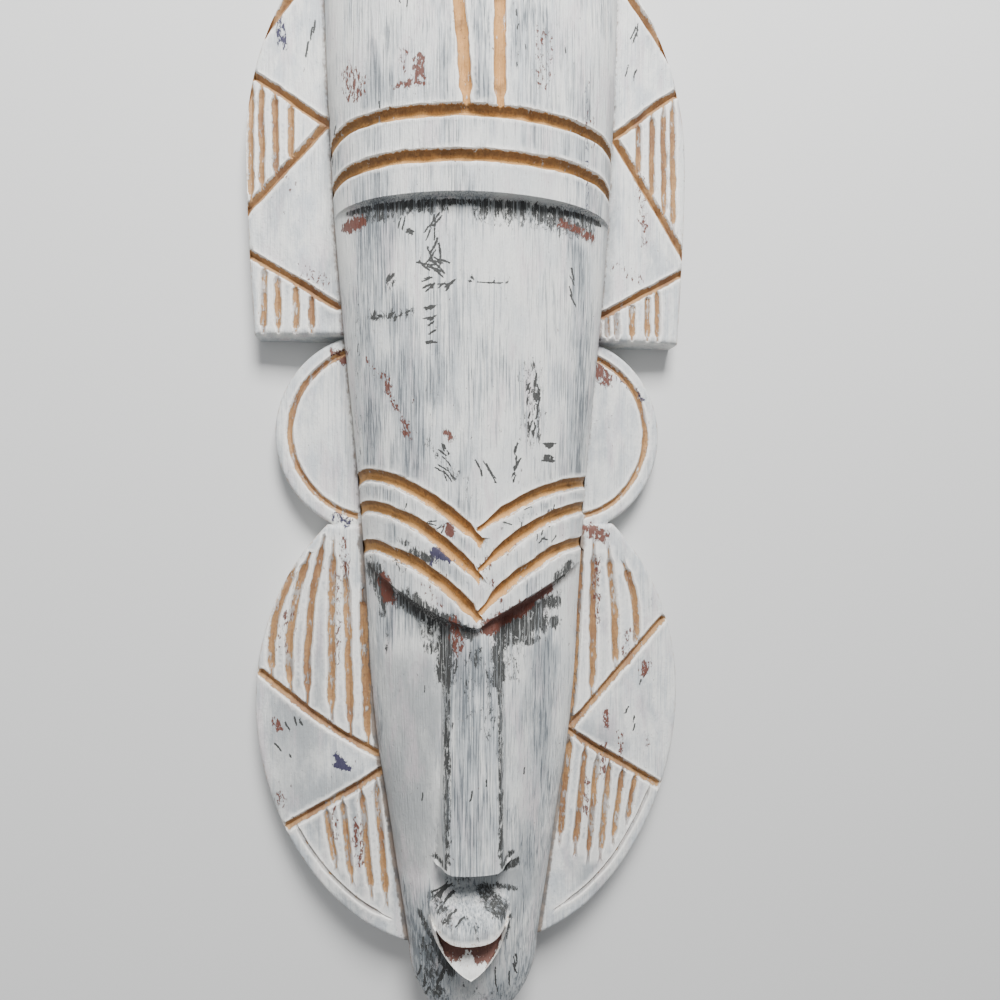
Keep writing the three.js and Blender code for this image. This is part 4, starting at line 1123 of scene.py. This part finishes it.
class Tree:
    """Short names for building a node tree."""

    def __init__(self, name):
        self.mat = bpy.data.materials.new(name)
        self.mat.use_nodes = True
        self.t = self.mat.node_tree
        self.t.nodes.clear()
        self.place = self.node("ShaderNodeTexCoord").outputs["Object"]

    def node(self, kind, inputs=None, **attrs):
        """New node with its settings, and values or links for its inputs."""
        n = self.t.nodes.new(kind)
        for key, value in attrs.items():
            setattr(n, key, value)
        for key, value in (inputs or {}).items():
            if isinstance(value, bpy.types.NodeSocket):
                self.t.links.new(value, n.inputs[key])
            else:
                n.inputs[key].default_value = value
        return n

    def attr(self, name):
        """Value of a point field."""
        return self.node("ShaderNodeAttribute", attribute_name=name).outputs["Fac"]

    def math(self, op, a, b=0.0, c=0.0, clamp=False):
        """Arithmetic on two or three values."""
        return self.node("ShaderNodeMath", {0: a, 1: b, 2: c}, operation=op, use_clamp=clamp).outputs[0]

    def scaled(self, value, gain, base):
        """Value times a gain, plus a base."""
        return self.math("MULTIPLY_ADD", value, gain, base)

    def step(self, value, low, high):
        """Smooth step from 0 at low to 1 at high."""
        inputs = {0: value, 1: low, 2: high}
        return self.node("ShaderNodeMapRange", inputs, interpolation_type="SMOOTHSTEP").outputs[0]

    def mix(self, fac, a, b):
        """Blend of two colours."""
        n = self.node("ShaderNodeMix", data_type="RGBA")
        for socket, value in ((0, fac), (6, a), (7, b)):
            if isinstance(value, bpy.types.NodeSocket):
                self.t.links.new(value, n.inputs[socket])
            else:
                n.inputs[socket].default_value = value if socket == 0 else (*value, 1)
        return n.outputs[2]

    def coat(self, under, over, mask, share):
        """Another coat over a colour, where a mask says, at a share of its strength."""
        return self.mix(self.math("MULTIPLY", mask, share), under, over)

    def noise(self, vector, scale, detail=3.0, rough=0.55, distortion=0.0):
        """Noise texture in object space."""
        inputs = {"Vector": vector, "Scale": scale, "Detail": detail, "Roughness": rough}
        return self.node("ShaderNodeTexNoise", {**inputs, "Distortion": distortion}).outputs[0]

    def stretch(self, vector, x, y, z, shift=0.0):
        """Object coordinates scaled per axis and shifted."""
        inputs = {"Vector": vector, "Location": (shift, shift, 0), "Scale": (x, y, z)}
        return self.node("ShaderNodeMapping", inputs).outputs[0]

    def streaked(self, x, y, z, shift, detail, rough, distortion=0.0):
        """Noise with its own scale on each axis."""
        return self.noise(self.stretch(self.place, x, y, z, shift), 1.0, detail, rough, distortion)

    def finish(self, color, rough, bump=None, **inputs):
        """Ends the tree with one Principled shader and returns the material."""
        inputs = {"Base Color": color, "Roughness": rough, **inputs}
        if bump:
            inputs["Normal"] = self.node("ShaderNodeBump", bump).outputs[0]
        shader = self.node("ShaderNodeBsdfPrincipled", inputs)
        out = self.node("ShaderNodeOutputMaterial")
        self.t.links.new(shader.outputs[0], out.inputs[0])
        return self.mat


# Tints beside the paint's settings
HAZE = (0.55, 0.585, 0.60)
SMEAR = (0.47, 0.505, 0.535)
DULL_GREY = (0.29, 0.305, 0.31)
THIN_COAT = (0.30, 0.325, 0.34)
GAP = (0.075, 0.09, 0.105)
DIRT = (0.36, 0.33, 0.29)
LIT_WALL_WOOD = (0.66, 0.43, 0.20)
KNOT = (0.07, 0.04, 0.022)
PALE_WOOD = (0.56, 0.34, 0.15)
DULL_WOOD = (0.35, 0.21, 0.115)
SHADED_GROOVE_WOOD = (0.19, 0.105, 0.058)
RED_WOOD = (0.17, 0.088, 0.06)
STAIN_AND_SHADE = (0.27, 0.21, 0.17)
RAISED_PAINT_AND_HIGHLIGHT = (0.97, 0.955, 0.905)
CREASE_DIRT_AND_SHADE = (0.17, 0.12, 0.085)
DEEP_CREASE_DIRT_AND_SHADE = (0.07, 0.058, 0.05)
SOOT = (0.066, 0.067, 0.064)
RUBBED = (0.42, 0.25, 0.12)


def mask_material(paint):
    """Worn white paint over a dark coat, with stained wood in the cuts, and painted light and shade in the
    cuts, creases and hollows.

    Each coat shows where its field plus noise passes a threshold, so its edge is ragged. Streaks are
    noise stretched along the length.
    """
    t = Tree("mask_paint")
    mm = t.stretch(t.place, 1000, 1000, 1000)
    long_streak = t.streaked(620, 20, 400, 3.1, 5.0, 0.62)
    fine_streak = t.streaked(1700, 42, 900, 7.7, 4.0, 0.62)
    cloud = t.noise(mm, 0.04, 4.0, 0.6)
    patch = t.streaked(60, 22, 60, 17.0, 4.0, 0.6)
    speck = t.noise(mm, 0.9, 3.0, 0.6)
    grain = t.noise(mm, 3.2, 2.0, 0.6)
    blot = t.streaked(560, 190, 560, 1.3, 8.0, 0.82, 0.4)
    chip = t.streaked(700, 330, 700, 5.9, 6.0, 0.7, 0.4)
    column = t.attr("column")
    streaks = t.attr("streaks")

    def both(a, b):
        return t.math("MULTIPLY", a, b)

    def less(a):
        return t.math("SUBTRACT", 1.0, a)

    def plus(field, source, gain):
        """Field plus the noise about its middle."""
        return t.scaled(t.math("SUBTRACT", source, 0.5), gain, field)

    def shown(field, source, low=0.56, high=0.61, gain=2.3):
        """1 where the field plus the noise passes the threshold."""
        return t.step(plus(field, source, gain), low, high)

    uneven = plus(t.scaled(streaks, 0.18, long_streak), patch, 0.8)
    white = t.coat(tuple(paint.white), tuple(paint.blue_grey), t.step(uneven, 0.50, 0.70), 0.66)
    white = t.coat(white, HAZE, t.step(cloud, 0.44, 0.66), 0.4)
    dull = t.streaked(75, 30, 75, 41.0, 6.0, 0.68)
    smeared = both(t.step(dull, 0.46, 0.62), t.scaled(column, -0.5, 0.75))
    white = t.mix(smeared, white, SMEAR)
    # Grey paint and painted shade where the grey spots lie
    white = t.coat(white, DULL_GREY, t.step(plus(t.attr("grey"), dull, 1.5), 0.22, 1.0), 0.8)
    pink = t.streaked(130, 30, 120, 13.0, 4.0, 0.62)
    white = t.coat(white, tuple(paint.lilac), t.step(pink, 0.50, 0.68), 0.5)
    thin = plus(t.scaled(streaks, 0.17, fine_streak), patch, 0.7)
    white = t.coat(white, THIN_COAT, both(t.step(thin, 0.525, 0.625), t.scaled(column, 0.45, 0.45)), 0.8)
    white = t.coat(white, GAP, both(t.step(thin, 0.66, 0.73), t.scaled(column, 0.6, 0.25)), 0.85)
    white = t.coat(white, DIRT, both(t.step(speck, 0.60, 0.72), t.step(cloud, 0.46, 0.6)), 0.5)

    wood = t.streaked(150, 150, 150, 0.0, 4.0, 0.6)
    ochre = t.coat(tuple(paint.ochre), tuple(paint.umber), t.step(wood, 0.50, 0.74), 0.55)
    # Painted light: the lower wall of a cut, which faces up, is a lighter wood
    ochre = t.coat(ochre, LIT_WALL_WOOD, t.attr("lower"), 0.5)
    # Painted shade with some stain: the upper wall of a cut turns umber
    ochre = t.coat(ochre, tuple(paint.umber), t.step(plus(t.attr("upper"), chip, 1.5), 0.22, 1.05), 0.76)
    ochre = t.coat(ochre, KNOT, t.step(speck, 0.63, 0.70), 0.6)
    plate_wood = t.mix(t.step(speck, 0.4, 0.7), PALE_WOOD, DULL_WOOD)
    # Painted shade: the plate cuts darken towards their bottom
    plate_wood = t.coat(plate_wood, SHADED_GROOVE_WOOD, t.attr("deep"), 0.55)
    plate_wood = t.coat(plate_wood, RED_WOOD, t.step(dull, 0.48, 0.60), 0.65)
    ochre = t.coat(ochre, plate_wood, less(column), 0.85)

    dark_attr = t.attr("dark")
    dark = shown(dark_attr, blot, 0.54, 0.62, 3.4)
    dark = both(dark, less(both(t.step(fine_streak, 0.54, 0.60), 0.7)))
    flecks = both(t.step(chip, 0.66, 0.69), t.step(cloud, 0.46, 0.58))
    dark = t.math("MAXIMUM", dark, flecks)
    dark = t.math("MAXIMUM", dark, t.step(plus(t.attr("scratch"), chip, 3.0), 0.50, 0.58))
    red = shown(t.attr("red"), chip, 0.54, 0.64, 3.0)
    purple = shown(t.attr("purple"), chip, 0.54, 0.64, 3.0)

    bare_attr = t.attr("bare")
    smear = t.streaked(480, 150, 480, 21.0, 5.0, 0.68)
    paint_left = t.scaled(smear, 2.3, t.scaled(patch, 1.0, -0.98))
    painted = t.step(t.math("SUBTRACT", paint_left, bare_attr), 0.0, 0.16)
    bare = both(t.step(bare_attr, 0.16, 0.36), less(painted))
    # White paint and a painted highlight over the outer part of a cut's lower wall
    bare = both(bare, less(both(shown(t.attr("lower"), chip, 0.50, 0.64, 2.0), 0.92)))
    edge = shown(t.attr("edge"), chip, 1.14, 1.22)
    rim = both(shown(t.attr("rim"), blot, 0.94, 1.08), 0.6)
    crease = t.step(plus(t.attr("crease"), blot, 1.3), 0.32, 0.72)

    # Stains and dust, painted shade under the brow, and darkening near the column's lower edge
    color = t.coat(white, STAIN_AND_SHADE, t.step(plus(t.attr("stain_and_shade"), blot, 1.6), 0.30, 1.05), 0.6)
    # Bright white along the lips of the cuts and on the lips of the mouth: paint built up at the edge, and a
    # painted highlight
    color = t.coat(color, RAISED_PAINT_AND_HIGHLIGHT, t.attr("edge"), 0.9)
    # Dirt and painted shade in the crease beside the column
    color = t.coat(color, t.mix(t.step(wood, 0.4, 0.6), CREASE_DIRT_AND_SHADE, DEEP_CREASE_DIRT_AND_SHADE), crease, 0.85)
    color = t.coat(color, tuple(paint.purple), purple, 0.96)
    # Dark undercoat, and painted shade at the band's foot, under the nose and beside the lower lip
    color = t.coat(color, t.mix(t.step(grain, 0.3, 0.7), tuple(paint.charcoal), SOOT), dark, 0.985)
    color = t.coat(color, tuple(paint.red), red, 0.95)
    color = t.mix(t.math("MAXIMUM", both(edge, 0.7), rim), color, RUBBED)
    color = t.mix(bare, color, ochre)

    worn = t.math("MAXIMUM", t.math("MAXIMUM", dark, red), t.math("MAXIMUM", purple, bare))
    height = t.scaled(worn, -0.5, long_streak)
    height = t.scaled(both(fine_streak, t.scaled(column, 0.8, 0.5)), 2.0, height)
    height = t.scaled(both(smear, less(column)), 1.6, height)
    height = t.scaled(grain, 0.25, height)
    height = t.scaled(speck, 0.5, height)
    bump = {"Height": height, "Strength": 0.7, "Distance": 0.0005}
    rough = t.scaled(worn, 0.18, 0.50)
    return t.finish(color, rough, bump, **{"Specular IOR Level": 0.35})


def back_material():
    """Raw brown wood of the back: stretched noise between ochre and umber."""
    t = Tree("mask_back")
    grain = t.streaked(600, 22, 300, 0.0, 5.0, 0.6)
    color = t.mix(t.step(grain, 0.35, 0.65), (0.36, 0.22, 0.11), (0.20, 0.11, 0.05))
    return t.finish(color, 0.72, {"Height": grain, "Strength": 0.4, "Distance": 0.0004})


def plain_material(name, color, rough):
    """One colour, one roughness."""
    return Tree(name).finish((*color, 1), rough)


def add_object(name, verts, faces):
    """New object in the scene from vertices and faces."""
    mesh = bpy.data.meshes.new(name)
    mesh.from_pydata(verts, [], faces)
    obj = bpy.data.objects.new(name, mesh)
    bpy.context.scene.collection.objects.link(obj)
    return obj


# Operators


class MASK_OT_carve(bpy.types.Operator):
    """Build the carved and painted mask"""

    bl_idname = "mask.carve"
    bl_label = "Carve mask"

    def execute(self, context):
        shape, paint = context.scene.mask_shape, context.scene.mask_paint
        verts, front, quads, back, fields = mask_mesh(shape)
        obj = add_object("mask_carving", verts.tolist(), front.tolist() + quads.tolist() + back.tolist())
        mesh = obj.data
        mesh.materials.append(mask_material(paint))
        mesh.materials.append(back_material())
        slots = np.zeros(len(mesh.polygons), dtype=np.int32)
        slots[len(front) + len(quads):] = 1
        mesh.polygons.foreach_set("material_index", slots)
        mesh.polygons.foreach_set("use_smooth", np.ones(len(mesh.polygons), dtype=bool))
        for name, values in fields.items():
            full = np.zeros(len(verts), dtype=np.float32)
            full[: len(values)] = values
            mesh.attributes.new(name, "FLOAT", "POINT").data.foreach_set("value", full)
        mesh.validate()
        mesh.set_sharp_from_angle(angle=math.radians(38))
        mesh.update()
        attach(obj, "root")
        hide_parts("mask")
        return {"FINISHED"}


class MASK_OT_stage(bpy.types.Operator):
    """Set up the floor, the lights and the camera"""

    bl_idname = "mask.stage"
    bl_label = "Set stage"

    def execute(self, context):
        stage = context.scene.mask_stage
        s = stage.floor_size / 2
        floor = add_object("floor", [(-s, -s, 0), (s, -s, 0), (s, s, 0), (-s, s, 0)], [(0, 1, 2, 3)])
        floor.data.materials.append(plain_material("floor_pale", (0.62, 0.62, 0.61), 0.8))
        lights = [
            ("key", (0.1, 0.9, 0.82), 0.45, stage.key_power),
            ("fill", (-0.7, 0.2, 1.2), 1.4, stage.fill_power),
        ]
        for name, place, size, power in lights:
            lamp = bpy.data.lights.new(name, "AREA")
            lamp.size = size
            lamp.energy = power
            obj = bpy.data.objects.new(name, lamp)
            obj.location = place
            obj.rotation_euler = Vector(place).to_track_quat("Z", "Y").to_euler()
            context.scene.collection.objects.link(obj)
        world = bpy.data.worlds.new("studio")
        world.use_nodes = True
        back = world.node_tree.nodes["Background"]
        back.inputs[0].default_value = (0.92, 0.95, 1.0, 1)
        back.inputs[1].default_value = 0.34
        context.scene.world = world
        cam = bpy.data.cameras.new("photo_camera")
        cam.lens = stage.lens
        cam.sensor_width = 36
        cam.clip_start = 0.01
        obj = bpy.data.objects.new("photo_camera", cam)
        obj.location = stage.camera_place
        obj.rotation_euler = (0, stage.camera_roll, 0)
        context.scene.collection.objects.link(obj)
        context.scene.camera = obj
        return {"FINISHED"}


class MASK_PT_panel(bpy.types.Panel):
    """Sidebar panel of the mask"""

    bl_label = "African Wall Mask"
    bl_idname = "MASK_PT_panel"
    bl_space_type = "VIEW_3D"
    bl_region_type = "UI"
    bl_category = "Mask"

    def draw(self, context):
        layout = self.layout
        for group in (context.scene.mask_shape, context.scene.mask_paint, context.scene.mask_stage):
            box = layout.box()
            for name in group.bl_rna.properties.keys():
                if name not in {"rna_type", "name"}:
                    box.prop(group, name)
        layout.operator("mask.carve")
        layout.operator("mask.stage")


CLASSES = (MaskShape, MaskPaint, MaskStage, MASK_OT_carve, MASK_OT_stage, MASK_PT_panel)


def register():
    """Register the classes and hang the property groups on the scene."""
    for cls in CLASSES:
        bpy.utils.register_class(cls)
    bpy.types.Scene.mask_shape = bpy.props.PointerProperty(type=MaskShape)
    bpy.types.Scene.mask_paint = bpy.props.PointerProperty(type=MaskPaint)
    bpy.types.Scene.mask_stage = bpy.props.PointerProperty(type=MaskStage)


def unregister():
    """Undo register."""
    del bpy.types.Scene.mask_stage
    del bpy.types.Scene.mask_paint
    del bpy.types.Scene.mask_shape
    for cls in reversed(CLASSES):
        bpy.utils.unregister_class(cls)


def main():
    """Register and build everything."""
    register()
    bpy.ops.mask.carve()
    bpy.ops.mask.stage()


if __name__ == "__main__":
    main()
